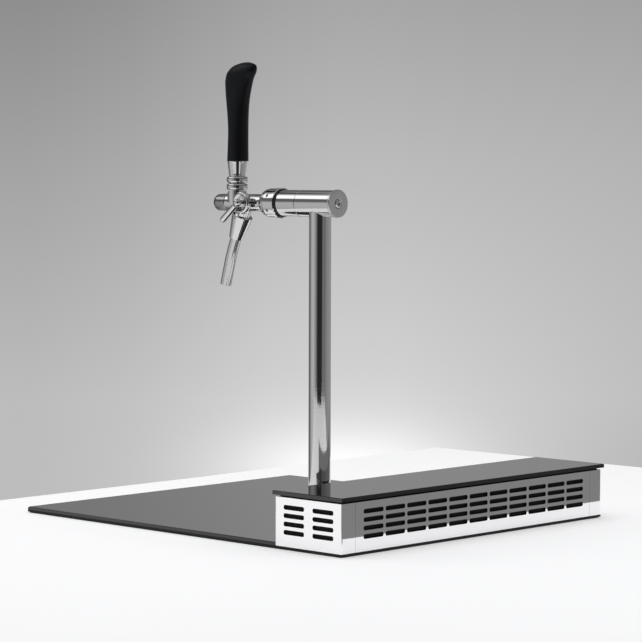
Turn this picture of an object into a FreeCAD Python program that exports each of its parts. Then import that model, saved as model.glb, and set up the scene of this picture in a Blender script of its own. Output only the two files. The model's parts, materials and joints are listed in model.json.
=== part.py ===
import FreeCAD, Part

import math
import os
import re

import Sketcher

# Countertop beer tap module: a black glass plate on a thin base, a vent box with a glass lid
# along its right side, and a column that carries a compensator tap.
# Millimetres. X runs to the vent box, Y to the back, Z up. The origin is on the worktop, under
# the middle of the whole footprint, lid overhang included.

SIZES = [
    ("base_width", 580, "left edge of the base to the outer face of the vent box"),
    ("base_depth", 505, "front to back of the base"),
    ("base_thickness", 3, "black steel base"),
    ("seal_thickness", 1.2, "foam tape under the base"),
    ("seal_width", 12, "foam tape"),
    ("seal_inset", 2, "edge of the base to the tape"),
    ("glass_thickness", 4, "flat glass plate"),
    ("glass_facet", 1.5, "bevel round the plate's free edges"),
    ("glass_gap", 0.5, "plate to vent box"),
    ("vent_width", 110, "vent box across"),
    ("sheet_thickness", 1.2, "polished walls of the vent box"),
    ("panel_height", 60.2, "walls of the vent box"),
    ("flange_depth", 10, "folds at the top and bottom of the walls"),
    ("wrap_length", 24, "end panel round the corner, along the long side"),
    ("seam_gap", 0.3, "between two wall panels"),
    ("corner_radius", 1.6, "folded outer corner"),
    ("carrier_thickness", 2.7, "black sheet under the lid glass"),
    ("carrier_inset", 4, "wall face to the carrier's edge"),
    ("lid_thickness", 5, "lid glass"),
    ("lid_overhang", 3, "lid glass past the walls"),
    ("lid_facet", 0.8, "bevel round the lid glass"),
    ("slot_length", 34.6, "slot of the long grille"),
    ("slot_pitch", 39.2, "slot to slot along the long grille"),
    ("slot_count", 11, "slots in a row"),
    ("slot_height", 5, "every slot"),
    ("slot_corner", 2, "corner radius of every slot"),
    ("row_pitch", 10.2, "slot row to slot row"),
    ("row_count", 4, "slot rows"),
    ("row_start", 17.7, "bottom of the wall to the middle of the lowest row"),
    ("end_slot_length", 33.6, "slot of an end panel"),
    ("end_slot_gap", 15, "between the two slots of an end panel"),
    ("standoff_radius", 5, "spacer under the lid"),
    ("standoff_spread", 30, "spacers, either side of the box's middle"),
    ("standoff_reach", 200, "outer spacers, from the middle of the box's length"),
    ("standoff_screw_radius", 2, "countersunk screw into a spacer"),
    ("standoff_screw_length", 12, "countersunk screw into a spacer"),
    ("countersink_radius", 3.8, "its head"),
    ("countersink_depth", 1.8, "its head"),
    ("fixing_spread", 70, "weld nuts across the box"),
    ("fixing_reach", 340, "weld nuts along the box"),
    ("fixing_radius", 2.6, "fixing hole in the base"),
    ("weld_nut_radius", 5, "weld nut"),
    ("weld_nut_height", 4, "weld nut"),
    ("weld_nut_thread", 2.1, "thread of the weld nut, core radius"),
    ("flange_screw_radius", 1.5, "screw through a bottom flange"),
    ("flange_screw_head", 2.8, "its head radius"),
    ("flange_screw_rise", 1.6, "its head height"),
    ("fan_size", 80, "square fan frame"),
    ("fan_height", 20, "fan frame"),
    ("fan_bore_radius", 38, "air passage of a fan"),
    ("fan_reach", 105, "fans, from the middle of the box's length"),
    ("fan_hub_radius", 17, "rotor hub"),
    ("fan_tip_gap", 2, "blade tip to the frame"),
    ("fan_base_height", 4, "motor base, twice the height of its spider"),
    ("fan_arm_width", 4, "arm of the spider"),
    ("fan_running_gap", 0.5, "motor base to the rotor hub"),
    ("fan_shaft_radius", 2, "rotor shaft"),
    ("fan_shaft_clearance", 0.03, "rotor shaft in its bush"),
    ("fan_blade_count", 7, "blades of a rotor"),
    ("fan_blade_thickness", 1.6, "blade"),
    ("fan_blade_chord", 15, "blade"),
    ("fan_blade_pitch", 38, "blade, degrees from upright"),
    ("fan_screw_spacing", 71.5, "fixing holes of a fan"),
    ("fan_screw_radius", 2, "fan screw"),
    ("fan_screw_head", 3.6, "fan screw head"),
    ("fan_screw_rise", 2.2, "fan screw head"),
    ("column_offset", 134.4, "outer face of the box to the column's axis"),
    ("column_setback", 102.5, "front edge to the column's axis"),
    ("column_radius", 14, "column"),
    ("column_wall", 1.4, "column"),
    ("spigot_clearance", 0.3, "column over the spigot, all round"),
    ("spigot_height", 40, "spigot above the glass"),
    ("spigot_bore", 6, "passage of the beer line, radius"),
    ("glass_hole_clearance", 0.8, "glass to the spigot"),
    ("foot_seal_thickness", 1, "rubber ring under the column"),
    ("foot_seal_radius", 15.5, "rubber ring under the column"),
    ("grub_radius", 2.5, "grub screw"),
    ("grub_low", 12, "lower grub screw above the glass"),
    ("grub_high", 28, "upper grub screw above the glass"),
    ("grub_length", 6, "grub screw"),
    ("grub_socket", 1.3, "socket of a grub screw"),
    ("head_height", 419.8, "axis of the head above the worktop"),
    ("head_radius", 16.9, "head cylinder"),
    ("head_bore", 12, "head cylinder"),
    ("head_bore_back", 14, "column's axis to the end of the bore"),
    ("head_port", 11.5, "hole for the beer line in the head's underside"),
    ("head_back", 31.1, "column's axis to the outer face of the end cap"),
    ("cap_thickness", 3.4, "end cap"),
    ("end_cap_radius", 17.6, "end cap"),
    ("cap_screw_radius", 3, "screw of the end cap"),
    ("cap_screw_head", 5.4, "its head"),
    ("cap_screw_cone", 2.4, "its head, depth"),
    ("cap_screw_length", 11, "its whole length"),
    ("cap_screw_socket", 2, "hexagon socket, across flats / 2"),
    ("seam_reach", 29.9, "column's axis to the seam between head and sleeve"),
    ("sleeve_spigot", 10, "sleeve's thread in the head"),
    ("ring_reach", 65.1, "column's axis to the back of the coupling nut"),
    ("ring_thickness", 2.4, "black ring behind the coupling nut"),
    ("ring_radius", 17.8, "black ring behind the coupling nut"),
    ("shank_radius", 10, "threaded shank"),
    ("shank_bore", 2.6, "shank"),
    ("shank_tail", 54.1, "column's axis to the end of the shank's thread"),
    ("barb_length", 11, "hose tail of the shank"),
    ("hose_radius", 4.75, "beer line"),
    ("hose_bore", 3.35, "beer line"),
    ("hose_bend", 28, "beer line's bend in the head"),
    ("nut_length", 29.3, "coupling nut"),
    ("nut_front_radius", 14.4, "coupling nut's small end"),
    ("nut_radius", 18.7, "coupling nut"),
    ("nut_rim", 0.7, "coupling nut's rim above its side"),
    ("nut_rim_length", 5.5, "coupling nut's rim"),
    ("nut_hole_radius", 2.1, "spanner hole"),
    ("nut_hole_count", 6, "spanner holes"),
    ("nut_hole_depth", 4, "spanner hole"),
    ("nut_thread_clearance", 0.05, "nut over the shank"),
    ("washer_thickness", 1.5, "flat seal between tap and shank"),
    ("handle_offset", 147.6, "column's axis to the handle's axis"),
    ("barrel_radius", 11.2, "tap barrel"),
    ("barrel_front", 12.9, "handle's axis to the front face of the barrel"),
    ("neck_radius", 7.9, "tap's neck in the nut"),
    ("flange_radius", 9.8, "tap's flange in the nut"),
    ("flange_length", 4, "tap's flange in the nut"),
    ("chamber_radius", 7, "valve chamber"),
    ("seat_front", 11, "handle's axis to the valve seat's wall"),
    ("seat_thickness", 3, "valve seat's wall"),
    ("seat_radius", 4, "hole in the valve seat"),
    ("inlet_radius", 6, "bore behind the valve seat"),
    ("boss_radius", 12.6, "boss under the handle"),
    ("boss_height", 15.6, "barrel's axis to the top of the boss"),
    ("relief_slope", 17, "slope of the boss's front half, room for the handle, degrees"),
    ("pivot_height", 7.5, "barrel's axis to the handle's pivot"),
    ("ball_radius", 4.5, "ball of the handle lever"),
    ("ball_clearance", 0.3, "ball in its seat"),
    ("retainer_radius", 7.4, "ball retainer"),
    ("retainer_rise", 1.2, "pivot to the retainer's underside"),
    ("retainer_height", 4.3, "ball retainer"),
    ("cap_radius", 11, "front cap"),
    ("cap_length", 24.2, "front cap"),
    ("cap_round", 7.5, "front cap's rounding"),
    ("cap_spigot", 3, "front cap's thread in the chamber"),
    ("guide_radius", 2.5, "piston's guide rod"),
    ("guide_clearance", 0.05, "guide rod in the front cap"),
    ("guide_length", 16, "piston's guide rod"),
    ("yoke_half", 6, "piston's yoke, half its length"),
    ("yoke_side", 4.5, "piston's yoke, half its width"),
    ("yoke_top", 2.6, "piston's yoke above the axis"),
    ("finger_radius", 2, "round tip of the lever's finger"),
    ("finger_neck", 1.3, "lever's finger"),
    ("finger_clearance", 0.3, "tip in the yoke's slot"),
    ("stem_radius", 2, "piston's stem"),
    ("valve_radius", 5.2, "valve disc"),
    ("valve_thickness", 1.8, "valve disc"),
    ("valve_seal_thickness", 1.2, "rubber on the valve disc"),
    ("dial_offset", 25.4, "handle's axis to the flow control's axis"),
    ("dial_boss_radius", 9, "side boss"),
    ("dial_boss_reach", 14, "barrel's axis to the face of the side boss"),
    ("dial_gap", 0.3, "side boss to the dial"),
    ("dial_radius", 14.4, "flow control's dial"),
    ("dial_thickness", 6, "flow control's dial"),
    ("dial_edge", 1.5, "rounding of the dial"),
    ("spindle_radius", 3, "dial's spindle"),
    ("spindle_clearance", 0.05, "spindle in the side boss"),
    ("spindle_end", 5, "barrel's axis to the end of the spindle"),
    ("crank_radius", 1, "crank pin"),
    ("crank_throw", 2, "crank pin off the spindle's axis"),
    ("crank_end", 2.2, "crank pin past the barrel's axis"),
    ("knob_radius", 5.2, "nut in the middle of the dial"),
    ("knob_length", 9, "nut in the middle of the dial"),
    ("lever_radius", 4.1, "flow control's lever"),
    ("lever_length", 37, "flow control's lever, from the dial's axis"),
    ("lever_drop", 40, "lever below the horizontal, degrees"),
    ("lever_tenon", 1.8, "lever's thread in the knob"),
    ("tail_front", 22.3, "handle's axis to the restrictor's tail"),
    ("tail_length", 7.2, "restrictor's tail"),
    ("tail_side", 2.5, "half the tail's width"),
    ("tail_height", 4.2, "half the tail's height"),
    ("tail_slot_height", 3.4, "half the slot's height"),
    ("cone_length", 22.5, "flow restrictor"),
    ("cone_big", 4.7, "flow restrictor"),
    ("cone_small", 2.2, "flow restrictor"),
    ("spout_forward", 9.7, "handle's axis to the top of the spout"),
    ("spout_below", 16.5, "barrel's axis to the top of the spout"),
    ("spout_angle", 22, "spout from upright, degrees"),
    ("spout_bend", 7, "spout's bend back to upright, degrees"),
    ("spout_bend_radius", 278, "spout's bend"),
    ("spout_straight", 35.7, "spout above the bend"),
    ("spout_tail", 25.2, "spout below the bend"),
    ("spout_radius", 7.25, "spout tube"),
    ("spout_wall", 1.2, "spout tube"),
    ("spout_clearance", 0.1, "tube in its sleeve"),
    ("sleeve_top_radius", 13.8, "spout sleeve"),
    ("sleeve_bottom_radius", 9.1, "spout sleeve"),
    ("sleeve_length", 31.6, "spout sleeve"),
    ("outlet_radius", 10, "tap's outlet boss"),
    ("outlet_length", 12, "tap's outlet boss, into the barrel"),
    ("outlet_bore", 5, "tap's outlet"),
    ("outlet_cap", 2, "end of the outlet below the end of its boss"),
    ("lower_collar_rise", 15.9, "barrel's axis to the lower collar"),
    ("collar_height", 8.6, "each collar"),
    ("collar_radius", 13.8, "each collar"),
    ("collar_round", 3.2, "rounding of a collar"),
    ("collar_gap", 0.4, "between the collars and under the ferrule"),
    ("collar_neck", 10, "spacer ring between the collars"),
    ("lever_neck", 2.2, "handle lever at the ball"),
    ("lever_stem", 4, "handle lever's stem"),
    ("stem_in_grip", 26, "stem inside the grip"),
    ("ferrule_height", 19.2, "cone under the grip"),
    ("ferrule_low", 10.6, "cone under the grip"),
    ("ferrule_high", 12.9, "cone under the grip"),
    ("grip_length", 126, "grip"),
    ("grip_stem_hole", 28, "hole for the stem in the grip"),
]

# Sections of the grip: share of its length, half length in X, half width in Y, lean towards
# the column. The grip is round at the bottom and fans out into a leaning blade at the top.
GRIP_SECTIONS = [
    ("bottom", 0, 14.2, 13.4, 1.1),
    ("low", 0.16, 13.7, 13, 1.5),
    ("waist", 0.32, 13.8, 12.5, 1.8),
    ("middle", 0.46, 15.2, 12.1, 1.4),
    ("upper", 0.6, 17.6, 11.8, 1.1),
    ("shoulder", 0.74, 21.1, 11.5, 2.2),
    ("blade", 0.84, 23.7, 10.7, 4.4),
    ("crest", 0.92, 24.2, 9, 9.7),
    ("brow", 0.97, 18.7, 6.2, 14.1),
    ("tip", 1, 9.5, 3, 17),
]

# Places that follow from the sizes.
PLACES = [
    ("box_right", "base_width / 2 - lid_overhang / 2"),
    ("plate_left", "box_right - base_width"),
    ("box_left", "box_right - vent_width"),
    ("box_middle", "box_right - vent_width / 2"),
    ("front", "-base_depth / 2"),
    ("back", "base_depth / 2"),
    ("base_top", "seal_thickness + base_thickness"),
    ("glass_top", "base_top + glass_thickness"),
    ("panel_top", "base_top + panel_height"),
    ("lid_bottom", "panel_top + carrier_thickness"),
    ("column_x", "box_right - column_offset"),
    ("column_y", "front + column_setback"),
    ("column_bottom", "glass_top + foot_seal_thickness"),
    ("spigot_radius", "column_radius - column_wall - spigot_clearance"),
    ("handle_x", "column_x - handle_offset"),
    ("nut_back", "handle_offset - ring_reach"),
    ("nut_front", "nut_back - nut_length"),
    ("shank_front", "nut_back - sleeve_spigot"),
    ("flange_back", "shank_front - washer_thickness"),
    ("tap_end", "nut_front - 0.5 * seam_gap"),
    ("dial_x", "handle_x + dial_offset"),
    ("spout_x", "handle_x + spout_forward"),
    ("spout_z", "head_height - spout_below"),
    ("fan_blade_tip", "fan_bore_radius - fan_tip_gap"),
    ("upper_collar_rise", "lower_collar_rise + collar_height + collar_gap"),
    ("ferrule_rise", "upper_collar_rise + collar_height + collar_gap"),
    ("grip_rise", "ferrule_rise + ferrule_height"),
]

doc = FreeCAD.newDocument("BeerTapModule")
sizes = doc.addObject("Spreadsheet::Sheet", "Sizes")
for row, (alias, value, note) in enumerate(SIZES, start=1):
    sizes.set(f"A{row}", alias)
    sizes.set(f"B{row}", str(value))
    sizes.setAlias(f"B{row}", alias)
    sizes.set(f"C{row}", note)
doc.recompute()

SIZE_NAMES = {alias for alias, value, note in SIZES}
PLACE_NAMES = {alias for alias, formula in PLACES}
WORD = re.compile(r"[a-z_]+[a-z]")


def linked(formula):
    """Write a formula's names as the cells that hold them."""
    def cell(match):
        word = match.group(0)
        if word in SIZE_NAMES:
            return "Sizes." + word
        if word in PLACE_NAMES:
            return "Places." + word
        return word
    return WORD.sub(cell, formula)


places = doc.addObject("Spreadsheet::Sheet", "Places")
for row, (alias, formula) in enumerate(PLACES, start=1):
    places.set(f"A{row}", alias)
    places.setAlias(f"B{row}", alias)
for row, (alias, formula) in enumerate(PLACES, start=1):
    places.set(f"B{row}", "=" + linked(formula))
doc.recompute()

NODES = []
# Two places closer than this are the same one.
TOUCH = 0.001


def number(formula):
    """The value of a formula, in millimetres or degrees."""
    return float(sizes.evalExpression(linked(str(formula))))


def bind(item, path, formula):
    """Tie a property to a formula."""
    item.setExpression(path, linked(str(formula)))


def place(item, x=0, y=0, z=0, axis=None, angle=0):
    """Put an object at a point, turned by an angle about an axis."""
    spot = FreeCAD.Vector(number(x), number(y), number(z))
    turn = FreeCAD.Rotation(FreeCAD.Vector(*(axis or (0, 0, 1))), number(angle))
    item.Placement = FreeCAD.Placement(spot, turn)
    bind(item, "Placement.Base.x", x)
    bind(item, "Placement.Base.y", y)
    bind(item, "Placement.Base.z", z)
    if axis:
        bind(item, "Placement.Rotation.Angle", angle)
    return item


def node(name, item):
    """Name the object that is one sub-part."""
    item.Label = name
    NODES.append((name, item))
    return item


def body(name, **spot):
    """A body that is one sub-part."""
    new = doc.addObject("PartDesign::Body", name)
    place(new, **spot)
    return node(name, new)


def sketch(owner, name, role, height=0):
    """A sketch on one of a body's own planes, lifted along the plane's normal."""
    new = owner.newObject("Sketcher::SketchObject", name)
    plane = [item for item in owner.Origin.OriginFeatures if item.Role == role][0]
    new.AttachmentSupport = (plane, [""])
    new.MapMode = "FlatFace"
    bind(new, "AttachmentOffset.Base.z", height)
    return new


def pin_point(drawing, index, end, x, y):
    """Fix a sketch point by its two distances from the origin."""
    for kind, formula in (("DistanceX", x), ("DistanceY", y)):
        rule = Sketcher.Constraint(kind, -1, 1, index, end, number(formula))
        slot = drawing.addConstraint(rule)
        bind(drawing, f"Constraints[{slot}]", formula)


def draw_polygon(drawing, corners):
    """A closed outline through corners given as pairs of formulas."""
    first = drawing.GeometryCount
    spots = [FreeCAD.Vector(number(x), number(y), 0) for x, y in corners]
    count = len(spots)
    for step in range(count):
        line = Part.LineSegment(spots[step], spots[(step + 1) % count])
        drawing.addGeometry(line, False)
    for step in range(count):
        after = first + (step + 1) % count
        drawing.addConstraint(Sketcher.Constraint("Coincident", first + step, 2, after, 1))
    for step, (x, y) in enumerate(corners):
        pin_point(drawing, first + step, 1, x, y)


def draw_rectangle(drawing, left, low, right, high):
    """A rectangle between two corners."""
    draw_polygon(drawing, [(left, low), (right, low), (right, high), (left, high)])


def draw_circle(drawing, x, y, radius):
    """A circle at a point."""
    middle = FreeCAD.Vector(number(x), number(y), 0)
    index = drawing.addGeometry(Part.Circle(middle, FreeCAD.Vector(0, 0, 1), number(radius)), False)
    slot = drawing.addConstraint(Sketcher.Constraint("Radius", index, number(radius)))
    bind(drawing, f"Constraints[{slot}]", radius)
    pin_point(drawing, index, 3, x, y)


def draw_slot(drawing, x, y, length, height, corner):
    """A slot with rounded corners, centred on a point: four sides and four quarter arcs."""
    half_long = f"({length}) / 2"
    half_high = f"({height}) / 2"
    left, right = f"{x} - {half_long}", f"{x} + {half_long}"
    low, high = f"{y} - {half_high}", f"{y} + {half_high}"
    first = drawing.GeometryCount
    sides = [
        (f"{left} + {corner}", low, f"{right} - {corner}", low),
        (right, f"{low} + {corner}", right, f"{high} - {corner}"),
        (f"{right} - {corner}", high, f"{left} + {corner}", high),
        (left, f"{high} - {corner}", left, f"{low} + {corner}"),
    ]
    middles = [
        (f"{right} - {corner}", f"{low} + {corner}"),
        (f"{right} - {corner}", f"{high} - {corner}"),
        (f"{left} + {corner}", f"{high} - {corner}"),
        (f"{left} + {corner}", f"{low} + {corner}"),
    ]
    for x_from, y_from, x_to, y_to in sides:
        start = FreeCAD.Vector(number(x_from), number(y_from), 0)
        end = FreeCAD.Vector(number(x_to), number(y_to), 0)
        drawing.addGeometry(Part.LineSegment(start, end), False)
    up = FreeCAD.Vector(0, 0, 1)
    for quarter, (x_mid, y_mid) in enumerate(middles):
        circle = Part.Circle(FreeCAD.Vector(number(x_mid), number(y_mid), 0), up, number(corner))
        begin = (quarter - 1) * math.pi / 2
        drawing.addGeometry(Part.ArcOfCircle(circle, begin, begin + math.pi / 2), False)
    for quarter, (x_mid, y_mid) in enumerate(middles):
        arc = first + 4 + quarter
        pin_point(drawing, arc, 3, x_mid, y_mid)
        pin_point(drawing, arc, 1, sides[quarter][2], sides[quarter][3])
        following = sides[(quarter + 1) % 4]
        kind, formula = [("DistanceY", following[1]), ("DistanceX", following[0])][quarter % 2]
        rule = Sketcher.Constraint(kind, -1, 1, arc, 2, number(formula))
        slot = drawing.addConstraint(rule)
        bind(drawing, f"Constraints[{slot}]", formula)
        drawing.addConstraint(Sketcher.Constraint("Coincident", first + quarter, 2, arc, 1))
        drawing.addConstraint(Sketcher.Constraint("Coincident", arc, 2, first + (quarter + 1) % 4, 1))


def repeat(owner, drawing, feature, runs):
    """Repeat a cut in rows and columns. runs holds sketch axis, whole length and count."""
    before = owner.Shape.Volume
    steps = []
    for axis, length, count in runs:
        step = owner.newObject("PartDesign::LinearPattern", f"{drawing.Name}_{axis}")
        step.Direction = (drawing, [axis + "_Axis"])
        bind(step, "Length", length)
        step.Occurrences = int(number(count))
        steps.append(step)
    grid = owner.newObject("PartDesign::MultiTransform", drawing.Name + "_grid")
    grid.Originals = [feature]
    grid.Transformations = steps
    owner.Tip = grid
    doc.recompute()
    assert owner.Shape.Volume < before, drawing.Name


def pad(owner, drawing, length):
    """Raise a sketch along its normal."""
    new = owner.newObject("PartDesign::Pad", drawing.Name + "Pad")
    new.Profile = drawing
    bind(new, "Length", length)
    doc.recompute()
    return new


def pocket_through(owner, drawing):
    """Cut a sketch right through, both ways, and see that it cut something."""
    before = owner.Shape.Volume
    new = owner.newObject("PartDesign::Pocket", drawing.Name + "Pocket")
    new.Profile = drawing
    new.Type = "ThroughAll"
    new.SideType = "Symmetric"
    doc.recompute()
    assert owner.Shape.Volume < before, drawing.Name
    return new


def pocket_blind(owner, drawing, depth, upwards):
    """Cut a sketch to a depth, along or against its normal, and see that it cut something."""
    before = owner.Shape.Volume
    new = owner.newObject("PartDesign::Pocket", drawing.Name + "Pocket")
    new.Profile = drawing
    bind(new, "Length", depth)
    new.Reversed = upwards
    doc.recompute()
    assert owner.Shape.Volume < before, drawing.Name
    return new


def turned(name, corners, about, **spot):
    """A turned sub-part. Its outline is drawn in the XZ plane: pairs of distance along the
    axis and radius for the axis H, of radius and height for the axis V."""
    owner = body(name, **spot)
    drawing = sketch(owner, name + "_outline", "XZ_Plane")
    draw_polygon(drawing, corners)
    spin = owner.newObject("PartDesign::Revolution", name + "_turn")
    spin.Profile = drawing
    spin.ReferenceAxis = (drawing, [about + "_Axis"])
    spin.Angle = 360
    doc.recompute()
    return owner


def soften(owner, name, kind, radius, wanted):
    """Round or bevel the edges of a body that a test picks."""
    shape = owner.Shape
    picked = [f"Edge{index}" for index, edge in enumerate(shape.Edges, start=1) if wanted(edge)]
    assert picked, name
    whole = owner.Tip
    new = owner.newObject("PartDesign::" + kind, name)
    new.Base = (whole, picked)
    bind(new, "Radius" if kind == "Fillet" else "Size", radius)
    owner.Tip = new
    doc.recompute()
    return new


def cylinder(name, radius, length, direction="Z", **spot):
    """A plain cylinder from a point along X, Y, Z or the opposite of Y."""
    new = doc.addObject("Part::Cylinder", name)
    bind(new, "Radius", radius)
    bind(new, "Height", length)
    turns = {"Z": (None, 0), "X": ((0, 1, 0), 90), "Y": ((1, 0, 0), -90), "-Y": ((1, 0, 0), 90)}
    axis, angle = turns[direction]
    return place(new, axis=axis, angle=angle, **spot)


def box(name, length, width, height, **spot):
    """A plain block from its lowest corner."""
    new = doc.addObject("Part::Box", name)
    bind(new, "Length", length)
    bind(new, "Width", width)
    bind(new, "Height", height)
    return place(new, **spot)


def joined(name, pieces):
    """Solids that are one piece."""
    new = doc.addObject("Part::MultiFuse", name)
    new.Shapes = pieces
    new.Refine = True
    return new


def cut(name, base, tool):
    """One solid less another."""
    new = doc.addObject("Part::Cut", name)
    new.Base = base
    new.Tool = tool
    return new


def group(name, pieces):
    """Separate, alike solids that are one sub-part."""
    new = doc.addObject("Part::Compound", name)
    new.Links = pieces
    return node(name, new)


def round_edge(radius, level, axis="z"):
    """A test for circular edges of a radius whose middle is at a level along an axis."""
    wide, high = number(radius), number(level)

    def test(edge):
        curve = edge.Curve
        if not isinstance(curve, Part.Circle):
            return False
        return abs(curve.Radius - wide) < TOUCH and abs(getattr(curve.Center, axis) - high) < TOUCH
    return test


# Corners of the fixing pattern and other repeated places, as pairs of formulas.
SIGNS = ("-", "")
FIXINGS = [(f"box_middle {'-' if a else '+'} fixing_spread / 2", f"{b}fixing_reach / 2")
           for a in (0, 1) for b in SIGNS]
STANDOFFS = [(f"box_middle {'-' if a else '+'} standoff_spread", f"{b} * standoff_reach")
             for a in (0, 1) for b in ("-1", "0", "1")]
FLANGE_MIDDLE = "flange_depth / 2 + sheet_thickness / 2"
WALL_SCREWS = [(x, f"{b} * standoff_reach * 0.9") for x in
               (f"box_right - ({FLANGE_MIDDLE})", f"box_left + ({FLANGE_MIDDLE})")
               for b in ("-1", "0", "1")]
END_SCREWS = [(f"box_middle {a} standoff_spread", f"{b}(base_depth / 2 - ({FLANGE_MIDDLE}))")
              for a in "+-" for b in SIGNS]


def base_plate():
    """Black steel base under the glass and the vent box."""
    owner = body("base_plate")
    outline = sketch(owner, "base_outline", "XY_Plane", "seal_thickness")
    draw_rectangle(outline, "plate_left", "front", "box_right", "back")
    pad(owner, outline, "base_thickness")
    sets = {
        "ports": [("box_middle", f"{sign}fan_reach", "fan_bore_radius") for sign in SIGNS],
        "column_hole": [("column_x", "column_y", "spigot_radius")],
        "fixings": [(x, y, "fixing_radius") for x, y in FIXINGS],
        "spacer_holes": [(x, y, "standoff_screw_radius") for x, y in STANDOFFS],
        "wall_holes": [(x, y, "flange_screw_radius") for x, y in WALL_SCREWS + END_SCREWS],
        "fan_holes": [(x, y, "fan_screw_radius") for x, y in fan_screw_spots()],
    }
    for name, circles in sets.items():
        holes = sketch(owner, "base_" + name, "XY_Plane", "seal_thickness")
        for x, y, radius in circles:
            draw_circle(holes, x, y, radius)
        pocket_through(owner, holes)
    low = "seal_thickness"
    mouths = round_edge("standoff_screw_radius", low)
    spots = [(number(x), number(y)) for x, y in STANDOFFS]

    def mouth(edge):
        if not mouths(edge):
            return False
        middle = edge.Curve.Center
        return any(math.hypot(middle.x - x, middle.y - y) < 0.1 for x, y in spots)
    soften(owner, "base_countersinks", "Chamfer", "countersink_depth", mouth)


def fan_screw_spots():
    """The four corners of each fan's fixing pattern."""
    return [(f"box_middle {a} fan_screw_spacing / 2", f"{b}fan_reach {c} fan_screw_spacing / 2")
            for b in SIGNS for a in "+-" for c in "+-"]


def worktop_seal():
    """Foam tape in four lengths, butted at the corners."""
    left, right = "plate_left + seal_inset", "box_right - seal_inset"
    near, far = "front + seal_inset", "back - seal_inset"
    long_side = f"{right} - ({left})"
    short_side = f"{far} - ({near}) - 2 * seal_width"
    pieces = [
        box("seal_front", long_side, "seal_width", "seal_thickness", x=left, y=near),
        box("seal_back", long_side, "seal_width", "seal_thickness", x=left, y=f"{far} - seal_width"),
        box("seal_left", "seal_width", short_side, "seal_thickness", x=left,
            y=f"{near} + seal_width"),
        box("seal_right", "seal_width", short_side, "seal_thickness",
            x=f"{right} - seal_width", y=f"{near} + seal_width"),
    ]
    group("worktop_seal", pieces)


def glass_plate():
    """Flat glass with a bevel on its three free edges and a hole for the column's spigot."""
    owner = body("glass_plate")
    outline = sketch(owner, "glass_outline", "XY_Plane", "base_top")
    draw_rectangle(outline, "plate_left", "front", "box_left - glass_gap", "back")
    pad(owner, outline, "glass_thickness")
    hole = sketch(owner, "glass_hole", "XY_Plane", "base_top")
    draw_circle(hole, "column_x", "column_y", "spigot_radius + glass_hole_clearance")
    pocket_through(owner, hole)
    top, inner = number("glass_top"), number("box_left - glass_gap")

    def free_edge(edge):
        middle = edge.BoundBox.Center
        straight = isinstance(edge.Curve, Part.Line)
        return straight and abs(middle.z - top) < TOUCH and abs(middle.x - inner) > number("glass_gap")
    soften(owner, "glass_bevel", "Chamfer", "glass_facet", free_edge)


def lid():
    """Lid glass over its black carrier sheet."""
    owner = body("lid_carrier")
    outline = sketch(owner, "carrier_outline", "XY_Plane", "panel_top")
    draw_rectangle(outline, "box_left + carrier_inset", "front + carrier_inset",
                   "box_right - carrier_inset", "back - carrier_inset")
    pad(owner, outline, "carrier_thickness")
    owner = body("lid_glass")
    outline = sketch(owner, "lid_outline", "XY_Plane", "lid_bottom")
    draw_rectangle(outline, "box_left - lid_overhang", "front - lid_overhang",
                   "box_right + lid_overhang", "back + lid_overhang")
    pad(owner, outline, "lid_thickness")
    top = number("lid_bottom + lid_thickness")
    soften(owner, "lid_bevel", "Chamfer", "lid_facet",
           lambda edge: abs(edge.BoundBox.ZMin - top) < TOUCH)


def end_panel(name, side):
    """Short wall of the vent box, folded round its outer corner. side is -1 in front, 1 behind."""
    outer = f"{side} * (base_depth / 2)"
    inner = f"{side} * (base_depth / 2 - sheet_thickness)"
    fold = f"{side} * (base_depth / 2 - wrap_length)"
    depth = f"{side} * (base_depth / 2 - sheet_thickness - flange_depth)"
    skin = "box_right - sheet_thickness"
    lip = "box_right - sheet_thickness - flange_depth"
    owner = body(name)
    wall = sketch(owner, name + "_wall", "XY_Plane", "base_top")
    draw_polygon(wall, [("box_left", outer), ("box_right", outer), ("box_right", fold),
                        (skin, fold), (skin, inner), ("box_left", inner)])
    pad(owner, wall, "panel_height")
    for part, level in (("foot", "base_top"), ("head", "panel_top - sheet_thickness")):
        flange = sketch(owner, f"{name}_{part}", "XY_Plane", level)
        draw_polygon(flange, [("box_left", outer), ("box_right", outer), ("box_right", fold),
                              (lip, fold), (lip, depth), ("box_left", depth)])
        pad(owner, flange, "sheet_thickness")
    slots = sketch(owner, name + "_slots", "XZ_Plane", f"{-side} * (base_depth / 2)")
    draw_slot(slots, "box_middle - (end_slot_gap + end_slot_length) / 2", "base_top + row_start",
              "end_slot_length", "slot_height", "slot_corner")
    first = pocket_blind(owner, slots, "sheet_thickness + seam_gap", side > 0)
    repeat(owner, slots, first, [("H", "end_slot_gap + end_slot_length", "2"),
                                 ("V", "(row_count - 1) * row_pitch", "row_count")])
    holes = sketch(owner, name + "_holes", "XY_Plane", "base_top")
    for x, y in END_SCREWS:
        if y.startswith("-") == (side < 0):
            draw_circle(holes, x, y, "flange_screw_radius")
    pocket_blind(owner, holes, "sheet_thickness", True)
    right, edge_y = number("box_right"), number(outer)

    def corner(edge):
        middle = edge.BoundBox.Center
        upright = edge.BoundBox.ZLength > number("panel_height") / 2
        return upright and abs(middle.x - right) < TOUCH and abs(middle.y - edge_y) < TOUCH
    soften(owner, name + "_corner", "Fillet", "corner_radius", corner)


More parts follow.
